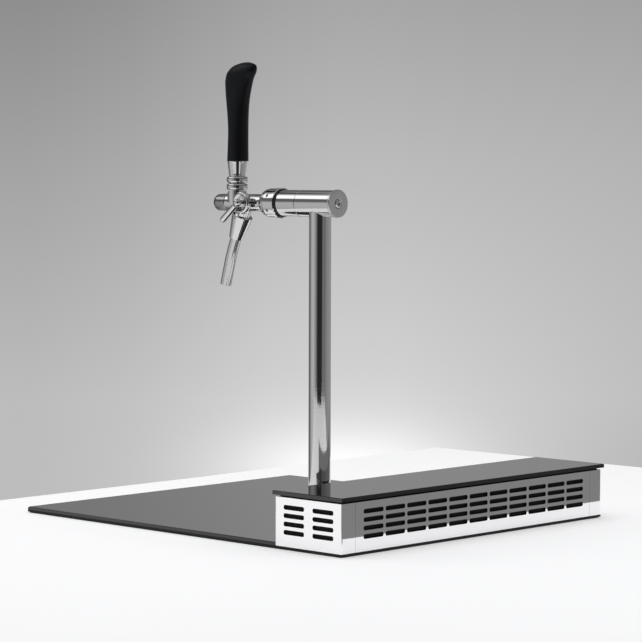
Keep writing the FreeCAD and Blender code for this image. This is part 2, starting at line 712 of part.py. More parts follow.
def side_wall(name, face, inward, low_y, high_y, slotted):
    """Long wall of the vent box with its top and bottom flanges."""
    owner = body(name)
    skin = f"{face} + {inward} * sheet_thickness"
    lip = f"{face} + {inward} * (sheet_thickness + flange_depth)"
    wall = sketch(owner, name + "_wall", "XY_Plane", "base_top")
    draw_rectangle(wall, face, low_y, skin, high_y)
    pad(owner, wall, "panel_height")
    clear = "(base_depth / 2 - wrap_length - seam_gap)"
    for part, level in (("foot", "base_top"), ("head", "panel_top - sheet_thickness")):
        flange = sketch(owner, f"{name}_{part}", "XY_Plane", level)
        draw_rectangle(flange, face, f"-{clear}", lip, clear)
        pad(owner, flange, "sheet_thickness")
    holes = sketch(owner, name + "_holes", "XY_Plane", "base_top")
    for x, y in WALL_SCREWS:
        if x.startswith(face):
            draw_circle(holes, x, y, "flange_screw_radius")
    pocket_blind(owner, holes, "sheet_thickness", True)
    if slotted:
        slots = sketch(owner, name + "_slots", "YZ_Plane", face)
        draw_slot(slots, "-(slot_count - 1) * slot_pitch / 2", "base_top + row_start",
                  "slot_length", "slot_height", "slot_corner")
        first = pocket_blind(owner, slots, "sheet_thickness + seam_gap", False)
        repeat(owner, slots, first, [("H", "(slot_count - 1) * slot_pitch", "slot_count"),
                                     ("V", "(row_count - 1) * row_pitch", "row_count")])


def flange_screws():
    """Pan head screws that hold the walls down to the base."""
    pieces = []
    for index, (x, y) in enumerate(WALL_SCREWS + END_SCREWS):
        shank = cylinder(f"flange_shank_{index}", "flange_screw_radius",
                         "base_thickness + sheet_thickness", x=x, y=y, z="seal_thickness")
        head = cylinder(f"flange_head_{index}", "flange_screw_head", "flange_screw_rise",
                        x=x, y=y, z="base_top + sheet_thickness")
        pieces.append(joined(f"flange_screw_{index}", [shank, head]))
    group("panel_screws", pieces)


def standoffs():
    """Six spacers between the base and the lid's carrier, and the screws into them."""
    spacers, screws = [], []
    for index, (x, y) in enumerate(STANDOFFS):
        post = cylinder(f"post_{index}", "standoff_radius", "panel_height", x=x, y=y, z="base_top")
        bore = cylinder(f"post_bore_{index}", "standoff_screw_radius", "standoff_screw_length",
                        x=x, y=y, z="base_top")
        spacers.append(cut(f"spacer_{index}", post, bore))
        shank = cylinder(f"spacer_shank_{index}", "standoff_screw_radius",
                         "standoff_screw_length", x=x, y=y, z="seal_thickness")
        head = doc.addObject("Part::Cone", f"spacer_head_{index}")
        bind(head, "Radius1", "countersink_radius")
        bind(head, "Radius2", "countersink_radius - countersink_depth")
        bind(head, "Height", "countersink_depth")
        place(head, x=x, y=y, z="seal_thickness")
        screws.append(joined(f"spacer_screw_{index}", [shank, head]))
    group("lid_standoffs", spacers)
    group("standoff_screws", screws)


def weld_nuts():
    """Four nuts on top of the base, over the fixing holes."""
    pieces = []
    for index, (x, y) in enumerate(FIXINGS):
        outside = cylinder(f"nut_blank_{index}", "weld_nut_radius", "weld_nut_height",
                           x=x, y=y, z="base_top")
        thread = cylinder(f"nut_thread_{index}", "weld_nut_thread", "weld_nut_height",
                          x=x, y=y, z="base_top")
        pieces.append(cut(f"weld_nut_{index}", outside, thread))
    group("weld_nuts", pieces)


def fan_frame(index, y):
    """Square fan frame: a ring, a motor base on a three-armed spider and four screw holes."""
    half = "fan_size / 2"
    block = box(f"fan_block_{index}", "fan_size", "fan_size", "fan_height",
                x=f"box_middle - {half}", y=f"{y} - {half}", z="base_top")
    passage = cylinder(f"fan_passage_{index}", "fan_bore_radius", "fan_height",
                       x="box_middle", y=y, z="base_top")
    ring = cut(f"fan_ring_{index}", block, passage)
    hub = cylinder(f"fan_hub_{index}", "fan_hub_radius", "fan_base_height",
                   x="box_middle", y=y, z="base_top")
    pieces = [ring, hub]
    for arm in range(3):
        angle = math.radians(120 * arm + 30)
        back = f"fan_arm_width / 2 * {math.sin(angle):.9f}"
        aside = f"fan_arm_width / 2 * {math.cos(angle):.9f}"
        spoke = box(f"fan_arm_{index}_{arm}", "fan_bore_radius + 1", "fan_arm_width",
                    "fan_base_height / 2", x=f"box_middle + {back}", y=f"{y} - {aside}",
                    z="base_top", axis=(0, 0, 1), angle=str(120 * arm + 30))
        pieces.append(spoke)
    holes = [cylinder(f"fan_bush_{index}", "fan_shaft_radius + fan_shaft_clearance",
                      "fan_base_height", x="box_middle", y=y, z="base_top")]
    for hole_index, (x, y_hole) in enumerate(fan_screw_spots()):
        if y_hole.startswith(y + " "):
            holes.append(cylinder(f"fan_hole_{index}_{hole_index}", "fan_screw_radius", "fan_height",
                                  x=x, y=y_hole, z="base_top"))
    drill = joined(f"fan_drill_{index}", holes)
    return cut(f"fan_frame_{index}", joined(f"fan_casting_{index}", pieces), drill)


def fans():
    """Two frames, their screws and their rotors."""
    group("fan_frames", [fan_frame(index, f"{sign}fan_reach")
                         for index, sign in enumerate(SIGNS)])
    screws = []
    for index, (x, y) in enumerate(fan_screw_spots()):
        shank = cylinder(f"fan_shank_{index}", "fan_screw_radius", "fan_height + base_thickness",
                         x=x, y=y, z="seal_thickness")
        head = cylinder(f"fan_head_{index}", "fan_screw_head", "fan_screw_rise",
                        x=x, y=y, z="base_top + fan_height")
        screws.append(joined(f"fan_screw_{index}", [shank, head]))
    group("fan_screws", screws)
    for name, y in (("fan_rotor_front", "-fan_reach"), ("fan_rotor_rear", "fan_reach")):
        node(name, fan_rotor(name, y))


def fan_rotor(name, y):
    """Rotor: hub, shaft and slanted blades."""
    low = "base_top + fan_base_height + fan_running_gap"
    top = "fan_height - fan_base_height - 2 * fan_running_gap"
    hub = cylinder(name + "_hub", "fan_hub_radius", top, x="box_middle", y=y, z=low)
    shaft = cylinder(name + "_shaft", "fan_shaft_radius", "fan_base_height + fan_running_gap + 1",
                     x="box_middle", y=y, z="base_top")
    pieces = [hub, shaft]
    count = int(number("fan_blade_count"))
    middle = FreeCAD.Vector(number("box_middle"), number(y), number(f"{low} + ({top}) / 2"))
    chord, thick = number("fan_blade_chord"), number("fan_blade_thickness")
    for blade in range(count):
        flat = doc.addObject("Part::Box", f"{name}_blade_{blade}")
        bind(flat, "Length", "fan_blade_tip - 1")
        bind(flat, "Width", "fan_blade_thickness")
        bind(flat, "Height", "fan_blade_chord")
        around = FreeCAD.Rotation(FreeCAD.Vector(0, 0, 1), 360 * blade / count)
        pitch = FreeCAD.Rotation(FreeCAD.Vector(1, 0, 0), number("fan_blade_pitch"))
        turn = around.multiply(pitch)
        corner = turn.multVec(FreeCAD.Vector(0, -thick / 2, -chord / 2))
        flat.Placement = FreeCAD.Placement(middle + corner, turn)
        pieces.append(flat)
    return joined(name, pieces)


def column():
    """Column tube with a saddle cut to the head, its spigot, seal and grub screws."""
    turned("column_spigot", [
        ("spigot_bore", "seal_thickness"), ("spigot_radius", "seal_thickness"),
        ("spigot_radius", "glass_top + spigot_height"),
        ("spigot_bore", "glass_top + spigot_height")], "V", x="column_x", y="column_y")
    turned("foot_seal", [
        ("spigot_radius + spigot_clearance", "glass_top"), ("foot_seal_radius", "glass_top"),
        ("foot_seal_radius", "column_bottom"),
        ("spigot_radius + spigot_clearance", "column_bottom")], "V", x="column_x", y="column_y")
    tube = turned("column_tube", [
        ("column_radius - column_wall", "column_bottom"), ("column_radius", "column_bottom"),
        ("column_radius", "head_height"), ("column_radius - column_wall", "head_height")],
        "V", x="column_x", y="column_y")
    saddle = sketch(tube, "column_saddle", "YZ_Plane")
    draw_circle(saddle, "0", "head_height", "head_radius")
    pocket_through(tube, saddle)
    for owner_name in ("column_tube", "column_spigot"):
        owner = doc.getObject(owner_name)
        holes = sketch(owner, owner_name + "_grub_holes", "YZ_Plane")
        for level in ("grub_low", "grub_high"):
            draw_circle(holes, "0", f"glass_top + {level}", "grub_radius")
        pocket_blind(owner, holes, "column_radius + 1", True)
    screws = []
    for index, level in enumerate(("grub_low", "grub_high")):
        spot = {"y": "column_y", "z": f"glass_top + {level}"}
        start = "column_x + column_radius - 0.5 - grub_length"
        pin = cylinder(f"grub_pin_{index}", "grub_radius", "grub_length", "X", x=start, **spot)
        socket = cylinder(f"grub_socket_{index}", "grub_socket", "grub_length / 2", "X",
                          x=f"{start} + grub_length / 2", **spot)
        screws.append(cut(f"grub_screw_{index}", pin, socket))
    group("grub_screws", screws)


def head():
    """Cross cylinder, its end cap and screw, the sleeve, the black ring and the shank."""
    spot = {"x": "column_x", "y": "column_y", "z": "head_height"}
    wall = "head_back - cap_thickness"
    shell = turned("head_body", [
        ("-seam_reach", "head_bore"), ("-seam_reach", "head_radius - 0.4"),
        ("-seam_reach + 0.4", "head_radius"), (wall, "head_radius"),
        (wall, "cap_screw_radius"), ("head_back - cap_screw_length - 0.5", "cap_screw_radius"),
        ("head_back - cap_screw_length - 0.5", "0"), ("head_bore_back", "0"),
        ("head_bore_back", "head_bore")], "H", **spot)
    port = sketch(shell, "head_port", "XY_Plane")
    draw_circle(port, "0", "0", "head_port")
    pocket_blind(shell, port, "head_radius + 1", False)
    turned("end_cap", [
        (wall, "cap_screw_radius"), (wall, "end_cap_radius"), ("head_back - 0.5", "end_cap_radius"),
        ("head_back", "end_cap_radius - 0.5"), ("head_back", "cap_screw_head"),
        ("head_back - cap_screw_cone", "cap_screw_radius")], "H", **spot)
    screw = turned("cap_screw", [
        ("head_back - cap_screw_length", "0"), ("head_back - cap_screw_length", "cap_screw_radius"),
        ("head_back - cap_screw_cone", "cap_screw_radius"), ("head_back", "cap_screw_head"),
        ("head_back", "0")], "H", **spot)
    socket = sketch(screw, "cap_screw_socket", "YZ_Plane", "head_back")
    corner = "cap_screw_socket * 1.1547"
    draw_polygon(socket, [(corner, "0"), (f"{corner} / 2", "cap_screw_socket"),
                          (f"-{corner} / 2", "cap_screw_socket"), (f"-{corner}", "0"),
                          (f"-{corner} / 2", "-cap_screw_socket"),
                          (f"{corner} / 2", "-cap_screw_socket")])
    pocket_blind(screw, socket, "cap_screw_cone", False)
    ring_front = "-ring_reach"
    sleeve_front = "-ring_reach + ring_thickness"
    turned("shank_sleeve", [
        (sleeve_front, "shank_radius"), (sleeve_front, "head_radius"),
        ("-seam_reach - 0.4", "head_radius"), ("-seam_reach", "head_radius - 0.4"),
        ("-seam_reach", "head_bore"), ("-seam_reach + sleeve_spigot", "head_bore"),
        ("-seam_reach + sleeve_spigot", "shank_radius")], "H", **spot)
    turned("nut_seal", [
        (ring_front, "shank_radius"), (ring_front, "ring_radius"),
        (sleeve_front, "ring_radius"), (sleeve_front, "shank_radius")], "H", **spot)
    start = "-ring_reach - sleeve_spigot"
    turned("tap_shank", [
        (start, "shank_bore"), (start, "shank_radius"), ("-shank_tail", "shank_radius"),
        ("-shank_tail", "hose_bore"), ("-shank_tail + barb_length", "hose_bore"),
        ("-shank_tail + barb_length", "shank_bore")], "H", **spot)
    turned("tap_washer", [
        (f"{start} - washer_thickness", "shank_bore"), (f"{start} - washer_thickness", "flange_radius"),
        (start, "flange_radius"), (start, "shank_bore")], "H", **spot)


def beer_line():
    """Hose up the middle of the column, round one bend and over the shank's tail."""
    owner = body("beer_line", x="column_x", y="column_y")
    ring = sketch(owner, "hose_ring", "XY_Plane", "seal_thickness")
    draw_circle(ring, "0", "0", "hose_radius")
    draw_circle(ring, "0", "0", "hose_bore")
    path = sketch(owner, "hose_path", "XZ_Plane")
    low, top, bend = number("seal_thickness"), number("head_height"), number("hose_bend")
    end = number("-shank_tail + 0.2")
    turn_start, turn_end = FreeCAD.Vector(0, top - bend, 0), FreeCAD.Vector(-bend, top, 0)
    middle = FreeCAD.Vector(-bend, top - bend, 0)
    path.addGeometry(Part.LineSegment(FreeCAD.Vector(0, low, 0), turn_start), False)
    circle = Part.Circle(middle, FreeCAD.Vector(0, 0, 1), bend)
    path.addGeometry(Part.ArcOfCircle(circle, 0, math.pi / 2), False)
    path.addGeometry(Part.LineSegment(turn_end, FreeCAD.Vector(end, top, 0)), False)
    path.addConstraint(Sketcher.Constraint("Coincident", 0, 2, 1, 1))
    path.addConstraint(Sketcher.Constraint("Coincident", 1, 2, 2, 1))
    pin_point(path, 0, 1, "0", "seal_thickness")
    pin_point(path, 0, 2, "0", "head_height - hose_bend")
    pin_point(path, 1, 3, "-hose_bend", "head_height - hose_bend")
    pin_point(path, 2, 2, "-shank_tail + 0.2", "head_height")
    slot = path.addConstraint(Sketcher.Constraint("DistanceX", -1, 1, 2, 1, -bend))
    bind(path, f"Constraints[{slot}]", "-hose_bend")
    run = owner.newObject("PartDesign::AdditivePipe", "hose_run")
    run.Profile = ring
    run.Spine = path
    doc.recompute()
    section = math.pi * (number("hose_radius") ** 2 - number("hose_bore") ** 2)
    length = (top - bend - low) + bend * math.pi / 2 + (-bend - end)
    print("beer line: volume over section times length", owner.Shape.Volume / (section * length))


def coupling_nut():
    """Bell-shaped nut: narrow at the tap, as wide as the head at the back, with spanner holes."""
    inside = "shank_radius + nut_thread_clearance"
    lip = "flange_back - flange_length - nut_thread_clearance"
    rim = "nut_back - nut_rim_length"
    nut = turned("coupling_nut", [
        ("nut_front", "neck_radius + nut_thread_clearance"), ("nut_front", "nut_front_radius"),
        ("nut_front + nut_length * 0.05", "nut_front_radius + 0.9"),
        ("nut_front + nut_length * 0.13", "nut_radius - 1.7"),
        ("nut_front + nut_length * 0.24", "nut_radius - 0.5"),
        ("nut_front + nut_length * 0.38", "nut_radius"), (rim, "nut_radius"),
        (f"{rim} + 0.6", "nut_radius + nut_rim"), ("nut_back - 0.8", "nut_radius + nut_rim"),
        ("nut_back", "nut_radius + nut_rim - 0.8"), ("nut_back", inside), (lip, inside),
        (lip, "neck_radius + nut_thread_clearance")], "H",
        x="handle_x", y="column_y", z="head_height")
    hole = sketch(nut, "nut_hole", "XY_Plane", "nut_radius - nut_hole_depth")
    draw_circle(hole, "nut_front + nut_length * 0.57", "0", "nut_hole_radius")
    drilled = pocket_blind(nut, hole, "nut_hole_depth + 1", True)
    ring = nut.newObject("PartDesign::PolarPattern", "nut_holes")
    ring.Originals = [drilled]
    ring.Axis = ([item for item in nut.Origin.OriginFeatures if item.Role == "X_Axis"][0], [""])
    ring.Angle = 360
    ring.Occurrences = int(number("nut_hole_count"))
    nut.Tip = ring


def tap_body():
    """Tap barrel with neck and flange, handle boss, side boss and outlet boss, and its bores."""
    axis = {"y": "column_y", "z": "head_height"}
    neck_end = "flange_back - flange_length"
    outside = [
        cylinder("barrel", "barrel_radius", "tap_end + barrel_front", "X",
                 x="handle_x - barrel_front", **axis),
        cylinder("tap_neck", "neck_radius", "flange_back", "X", x="handle_x", **axis),
        cylinder("tap_flange", "flange_radius", "flange_length", "X",
                 x=f"handle_x + {neck_end}", **axis),
        cylinder("handle_boss", "boss_radius", "boss_height", x="handle_x", **axis),
        cylinder("dial_boss", "dial_boss_radius", "dial_boss_reach", "-Y", x="dial_x", **axis),
        slanted("outlet_boss", "outlet_radius", "0", "outlet_length"),
    ]
    inside = [
        cylinder("chamber", "chamber_radius", "barrel_front + seat_front", "X",
                 x="handle_x - barrel_front", **axis),
        cylinder("seat_hole", "seat_radius", "seat_thickness + 2", "X",
                 x="handle_x + seat_front - 1", **axis),
        cylinder("inlet", "inlet_radius", "flange_back - seat_front - seat_thickness", "X",
                 x="handle_x + seat_front + seat_thickness", **axis),
        cylinder("ball_bore", "ball_radius + ball_clearance", "boss_height", x="handle_x", **axis),
        cylinder("retainer_seat", "retainer_radius", "boss_height - pivot_height - retainer_rise",
                 x="handle_x", y="column_y", z="head_height + pivot_height + retainer_rise"),
        cylinder("spindle_hole", "spindle_radius + spindle_clearance", "dial_boss_reach", "-Y",
                 x="dial_x", **axis),
        slanted("outlet", "outlet_bore", "-1", "outlet_length - outlet_cap"),
        handle_relief(),
    ]
    node("tap_body", cut("tap_body", joined("tap_casting", outside), joined("tap_bores", inside)))


def handle_relief():
    """The wedge above the sloping front half of the boss, where the handle's collar comes down."""
    run = "2 * boss_radius"
    wedge = box("handle_relief", run, run + " + 2", "boss_radius")
    return place(wedge, x=f"handle_x - {run} * cos(relief_slope * 1deg)",
                 y="column_y - boss_radius - 1",
                 z=f"head_height + boss_height - {run} * sin(relief_slope * 1deg)",
                 axis=(0, 1, 0), angle="-relief_slope")


def slanted(name, radius, low, high):
    """A cylinder on the spout's axis, between two distances above the top of the spout."""
    rod = doc.addObject("Part::Cylinder", name)
    bind(rod, "Radius", radius)
    bind(rod, "Height", f"{high} - ({low})")
    return place(rod, x=f"spout_x + ({low}) * sin(spout_angle * 1deg)", y="column_y",
                 z=f"spout_z + ({low}) * cos(spout_angle * 1deg)", axis=(0, 1, 0),
                 angle="spout_angle")


def front_cap():
    """Rounded plug that closes the front of the barrel and guides the piston."""
    tip = "-barrel_front - cap_length"
    bore = "guide_radius + guide_clearance"
    plug = turned("front_cap", [
        (tip, "0"), (tip, "cap_radius"), ("-barrel_front", "cap_radius"),
        ("-barrel_front", "chamber_radius"), ("-barrel_front + cap_spigot", "chamber_radius"),
        ("-barrel_front + cap_spigot", bore), ("-yoke_half - guide_length - 1", bore),
        ("-yoke_half - guide_length - 1", "0")], "H",
        x="handle_x", y="column_y", z="head_height")
    soften(plug, "cap_rounding", "Fillet", "cap_round",
           round_edge("cap_radius", "handle_x - barrel_front - cap_length", "x"))


def valve():
    """Piston: guide rod, slotted yoke, stem and disc, with the rubber on the disc."""
    axis = {"y": "column_y", "z": "head_height"}
    seat_back = "seat_front + seat_thickness"
    yoke = box("yoke", "2 * yoke_half", "2 * yoke_side", "yoke_side + yoke_top",
               x="handle_x - yoke_half", y="column_y - yoke_side", z="head_height - yoke_side")
    room = "(finger_radius + finger_clearance)"
    slot = box("yoke_slot", f"2 * {room}", f"2 * {room}", f"{room} + yoke_top + 1",
               x=f"handle_x - {room}", y=f"column_y - {room}", z=f"head_height - {room} - 0.3")
    guide = cylinder("guide_rod", "guide_radius", "guide_length", "X",
                     x="handle_x - yoke_half - guide_length", **axis)
    stem = cylinder("stem", "stem_radius", f"{seat_back} + valve_seal_thickness - yoke_half", "X",
                    x="handle_x + yoke_half", **axis)
    disc = cylinder("disc", "valve_radius", "valve_thickness", "X",
                    x=f"handle_x + {seat_back} + valve_seal_thickness", **axis)
    piston = joined("piston_blank", [cut("slotted_yoke", yoke, slot), guide, stem, disc])
    node("valve_piston", piston)
    turned("valve_seal", [
        (seat_back, "stem_radius"), (seat_back, "valve_radius"),
        (f"{seat_back} + valve_seal_thickness", "valve_radius"),
        (f"{seat_back} + valve_seal_thickness", "stem_radius")], "H",
        x="handle_x", y="column_y", z="head_height")


def flow_control():
    """Dial with spindle and crank, its knob and lever, and the restrictor cone."""
    spot = {"x": "dial_x", "y": "column_y", "z": "head_height"}
    back = "dial_boss_reach + dial_gap"
    face = f"{back} + dial_thickness"
    dial = doc.addObject("PartDesign::Body", "dial_blank")
    place(dial, axis=(0, 0, 1), angle="-90", **spot)
    outline = sketch(dial, "dial_outline", "XZ_Plane")
    draw_polygon(outline, [
        ("spindle_end", "0"), ("spindle_end", "spindle_radius"), (back, "spindle_radius"),
        (back, "dial_radius"), (f"{face} - dial_edge", "dial_radius"),
        (face, "dial_radius - dial_edge"), (face, "lever_tenon"),
        (f"{face} - dial_thickness / 2", "lever_tenon"), (f"{face} - dial_thickness / 2", "0")])
    spin = dial.newObject("PartDesign::Revolution", "dial_turn")
    spin.Profile = outline
    spin.ReferenceAxis = (outline, ["H_Axis"])
    spin.Angle = 360
    crank = cylinder("crank_pin", "crank_radius", "spindle_end + crank_end + 1", "Y",
                     x="dial_x", y="column_y - spindle_end - 1", z="head_height + crank_throw")
    node("compensator_hub", joined("compensator_hub", [dial, crank]))
    post = cylinder("knob_post", "lever_tenon", "knob_length / 2 + dial_thickness / 2", "-Y",
                    x="dial_x", y=f"column_y - ({face}) + dial_thickness / 2", z="head_height")
    barrel = cylinder("knob_barrel", "knob_radius", "knob_length", "-Y",
                      x="dial_x", y=f"column_y - ({face})", z="head_height")
    rounded = doc.addObject("Part::Fillet", "knob_rounded")
    doc.recompute()
    far = number(f"column_y - ({face}) - knob_length")
    ends = [index for index, edge in enumerate(barrel.Shape.Edges, start=1)
            if isinstance(edge.Curve, Part.Circle) and abs(edge.Curve.Center.y - far) < TOUCH]
    rounded.Base = barrel
    dome = number("knob_radius") * 0.7
    rounded.Edges = [(index, dome, dome) for index in ends]
    middle = f"column_y - ({face}) - knob_length / 2"
    hole = lever_rod("knob_hole", "lever_tenon", "0", "knob_radius + 2", middle)
    node("lever_knob", cut("lever_knob", joined("knob_blank", [rounded, post]), hole))
    rod = lever_rod("lever_bar", "lever_radius", "knob_radius + 0.2", "lever_length", middle)
    tenon = lever_rod("lever_thread", "lever_tenon", "0.3", "knob_radius + 1", middle)
    node("compensator_lever", joined("compensator_lever", [rod, tenon]))
    tail_middle = "tail_front + tail_length / 2"
    slot_half = "(crank_radius + finger_clearance)"
    tail = box("cone_tail", "tail_length", "2 * tail_side", "2 * tail_height",
               x="handle_x + tail_front", y="column_y - tail_side", z="head_height - tail_height")
    slot = box("cone_slot", f"2 * {slot_half}", "2 * tail_side + 2", "2 * tail_slot_height",
               x=f"dial_x - {slot_half}", y="column_y - tail_side - 1",
               z="head_height - tail_slot_height")
    cone = doc.addObject("Part::Cone", "restrictor")
    bind(cone, "Radius1", "cone_big")
    bind(cone, "Radius2", "cone_small")
    bind(cone, "Height", "cone_length")
    place(cone, x="handle_x + tail_front + tail_length", y="column_y", z="head_height",
          axis=(0, 1, 0), angle="90")
    node("compensator_cone", joined("compensator_cone", [cut("slotted_tail", tail, slot), cone]))


def lever_rod(name, radius, low, high, y):
    """A rod in the lever's direction, between two distances from the dial's axis."""
    rod = doc.addObject("Part::Cylinder", name)
    bind(rod, "Radius", radius)
    bind(rod, "Height", f"{high} - ({low})")
    return place(rod, x=f"dial_x - ({low}) * cos(lever_drop * 1deg)", y=y,
                 z=f"head_height - ({low}) * sin(lever_drop * 1deg)", axis=(0, 1, 0),
                 angle="-90 - lever_drop")


def spout():
    """Tapered sleeve and the thin tube that bends slightly back to upright."""
    spot = {"x": "spout_x", "y": "column_y", "z": "spout_z", "axis": (0, 1, 0),
            "angle": "spout_angle"}
    bore = "spout_radius + spout_clearance"
    turned("spout_sleeve", [
        (bore, "0"), ("sleeve_top_radius - 0.8", "0"), ("sleeve_top_radius", "-0.8"),
        ("sleeve_top_radius - 0.2", "-2"), ("sleeve_bottom_radius", "-sleeve_length"),
        (bore, "-sleeve_length")], "V", **spot)
    tube = body("spout_tube", **spot)
    ring = sketch(tube, "spout_ring", "XY_Plane")
    draw_circle(ring, "0", "0", "spout_radius")
    draw_circle(ring, "0", "0", "spout_radius - spout_wall")
    path = sketch(tube, "spout_path", "XZ_Plane")
    drop, radius = number("spout_straight"), number("spout_bend_radius")
    angle, tail = math.radians(number("spout_bend")), number("spout_tail")
    middle = FreeCAD.Vector(radius, -drop, 0)
    bend_end = middle + FreeCAD.Vector(-radius * math.cos(angle), -radius * math.sin(angle), 0)
    tip = bend_end + FreeCAD.Vector(tail * math.sin(angle), -tail * math.cos(angle), 0)
    path.addGeometry(Part.LineSegment(FreeCAD.Vector(0, 0, 0), FreeCAD.Vector(0, -drop, 0)), False)
    circle = Part.Circle(middle, FreeCAD.Vector(0, 0, 1), radius)
    path.addGeometry(Part.ArcOfCircle(circle, math.pi, math.pi + angle), False)
    path.addGeometry(Part.LineSegment(bend_end, tip), False)
    bend = "(spout_bend * 1deg)"
    end_x = f"spout_bend_radius * (1 - cos{bend})"
    end_y = f"-spout_straight - spout_bend_radius * sin{bend}"
    pin_point(path, 0, 1, "0", "0")
    pin_point(path, 0, 2, "0", "-spout_straight")
    path.addConstraint(Sketcher.Constraint("Coincident", 0, 2, 1, 1))
    path.addConstraint(Sketcher.Constraint("Coincident", 1, 2, 2, 1))
    pin_point(path, 1, 3, "spout_bend_radius", "-spout_straight")
    slot = path.addConstraint(Sketcher.Constraint("DistanceY", -1, 1, 2, 1, bend_end.y))
    bind(path, f"Constraints[{slot}]", end_y)
    pin_point(path, 2, 2, f"{end_x} + spout_tail * sin{bend}", f"{end_y} - spout_tail * cos{bend}")
    run = tube.newObject("PartDesign::AdditivePipe", "spout_run")
    run.Profile = ring
    run.Spine = path
    doc.recompute()


def collar(name, rise):
    """Rounded chrome ring on the lever's stem."""
    high = f"{rise} + collar_height"
    ring = turned(name, [
        ("lever_stem", rise), ("collar_radius", rise), ("collar_radius", high),
        ("collar_neck", high), ("collar_neck", f"{high} + collar_gap"),
        ("lever_stem", f"{high} + collar_gap")], "V", x="handle_x", y="column_y", z="head_height")
    low_edge = round_edge("collar_radius", f"head_height + {rise}")
    high_edge = round_edge("collar_radius", f"head_height + {high}")
    soften(ring, name + "_rounding", "Fillet", "collar_round",
           lambda edge: low_edge(edge) or high_edge(edge))


def ball_lever():
    """Ball with a finger below it and a stem above it, up into the grip."""
    spot = {"x": "handle_x", "y": "column_y"}
    pivot = "head_height + pivot_height"
    ball = doc.addObject("Part::Sphere", "lever_ball")
    bind(ball, "Radius", "ball_radius")
    place(ball, z=pivot, **spot)
    tip = doc.addObject("Part::Sphere", "finger_tip")
    bind(tip, "Radius", "finger_radius")
    place(tip, z="head_height", **spot)
    pieces = [
        ball, tip,
        cylinder("finger", "finger_neck", "pivot_height", z="head_height", **spot),
        cylinder("lever_neck_rod", "lever_neck", "lower_collar_rise - pivot_height", z=pivot, **spot),
        cylinder("lever_stem_rod", "lever_stem", "grip_rise + stem_in_grip - lower_collar_rise",
                 z="head_height + lower_collar_rise", **spot),
    ]
    node("ball_lever", joined("ball_lever", pieces))
    seat = "ball_radius + ball_clearance"
    low = "pivot_height + retainer_rise"
    high = f"{low} + retainer_height"
    throat = "pivot_height + 0.55 * ball_radius"
    turned("ball_retainer", [
        (f"{seat} - 0.1", low), ("retainer_radius", low), ("retainer_radius", high),
        (f"{seat} + 0.4", high), (f"{seat} - 0.7", throat)], "V", z="head_height", **spot)


def handle():
    """Collars, ferrule and grip on the ball lever."""
    spot = {"x": "handle_x", "y": "column_y", "z": "head_height"}
    collar("lower_collar", "lower_collar_rise")
    collar("upper_collar", "upper_collar_rise")
    turned("ferrule", [
        ("lever_stem", "ferrule_rise"), ("ferrule_low", "ferrule_rise"),
        ("ferrule_high", "grip_rise"), ("lever_stem", "grip_rise")], "V", **spot)
    rings = []
    for name, share, long_half, wide_half, lean in GRIP_SECTIONS:
        ring = doc.addObject("Part::Ellipse", "grip_" + name)
        bind(ring, "MajorRadius", str(long_half))
        bind(ring, "MinorRadius", str(wide_half))
        place(ring, x=f"handle_x + {lean}", y="column_y",
              z=f"head_height + grip_rise + {share} * grip_length")
        rings.append(ring)
    skin = doc.addObject("Part::Loft", "grip_skin")
    skin.Sections = rings
    skin.Solid = True
    bore = cylinder("grip_bore", "lever_stem", "grip_stem_hole", x="handle_x", y="column_y",
                    z="head_height + grip_rise")
    node("grip", cut("grip", skin, bore))


worktop_seal()
base_plate()
glass_plate()
lid()
end_panel("front_end_panel", -1)
end_panel("rear_end_panel", 1)
LONG_CLEAR = "(base_depth / 2 - wrap_length - seam_gap)"
INNER_CLEAR = "(base_depth / 2 - sheet_thickness - flange_depth - seam_gap)"
side_wall("long_grille", "box_right", -1, f"-{LONG_CLEAR}", LONG_CLEAR, True)
side_wall("inner_wall", "box_left", 1, f"-{INNER_CLEAR}", INNER_CLEAR, False)
flange_screws()
standoffs()
weld_nuts()
fans()
column()
head()
beer_line()
coupling_nut()
tap_body()
front_cap()
valve()
flow_control()
spout()
ball_lever()
handle()
doc.recompute()

for item in doc.Objects:
    assert not {"Invalid", "Error"} & set(item.State), item.Name
for name, item in NODES:
    shape = item.Shape
    assert not shape.isNull() and shape.isValid() and shape.Solids, name

os.makedirs("parts", exist_ok=True)
for name, item in NODES:
    item.Shape.exportStep(os.path.join("parts", name + ".step"))
    extent = item.Shape.BoundBox
    print(f"{name:20s} solids {len(item.Shape.Solids):2d} volume {item.Shape.Volume:12.1f} "
          f"x {extent.XMin:8.1f} {extent.XMax:8.1f} y {extent.YMin:8.1f} {extent.YMax:8.1f} "
          f"z {extent.ZMin:7.1f} {extent.ZMax:7.1f}")
print(len(NODES), "sub-parts")
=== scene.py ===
# %% [markdown]
# # A countertop beer tap under studio light
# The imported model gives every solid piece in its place. This file adds what the eye needs:
# the camera, the table, the light, the finishes, and finer skins for the pieces that catch
# the light. Lengths are in metres, X runs to the vent box, Y to the back and Z up.

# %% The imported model
import bmesh
import bpy
import json
import math
import numpy as np
from mathutils import Matrix, Vector


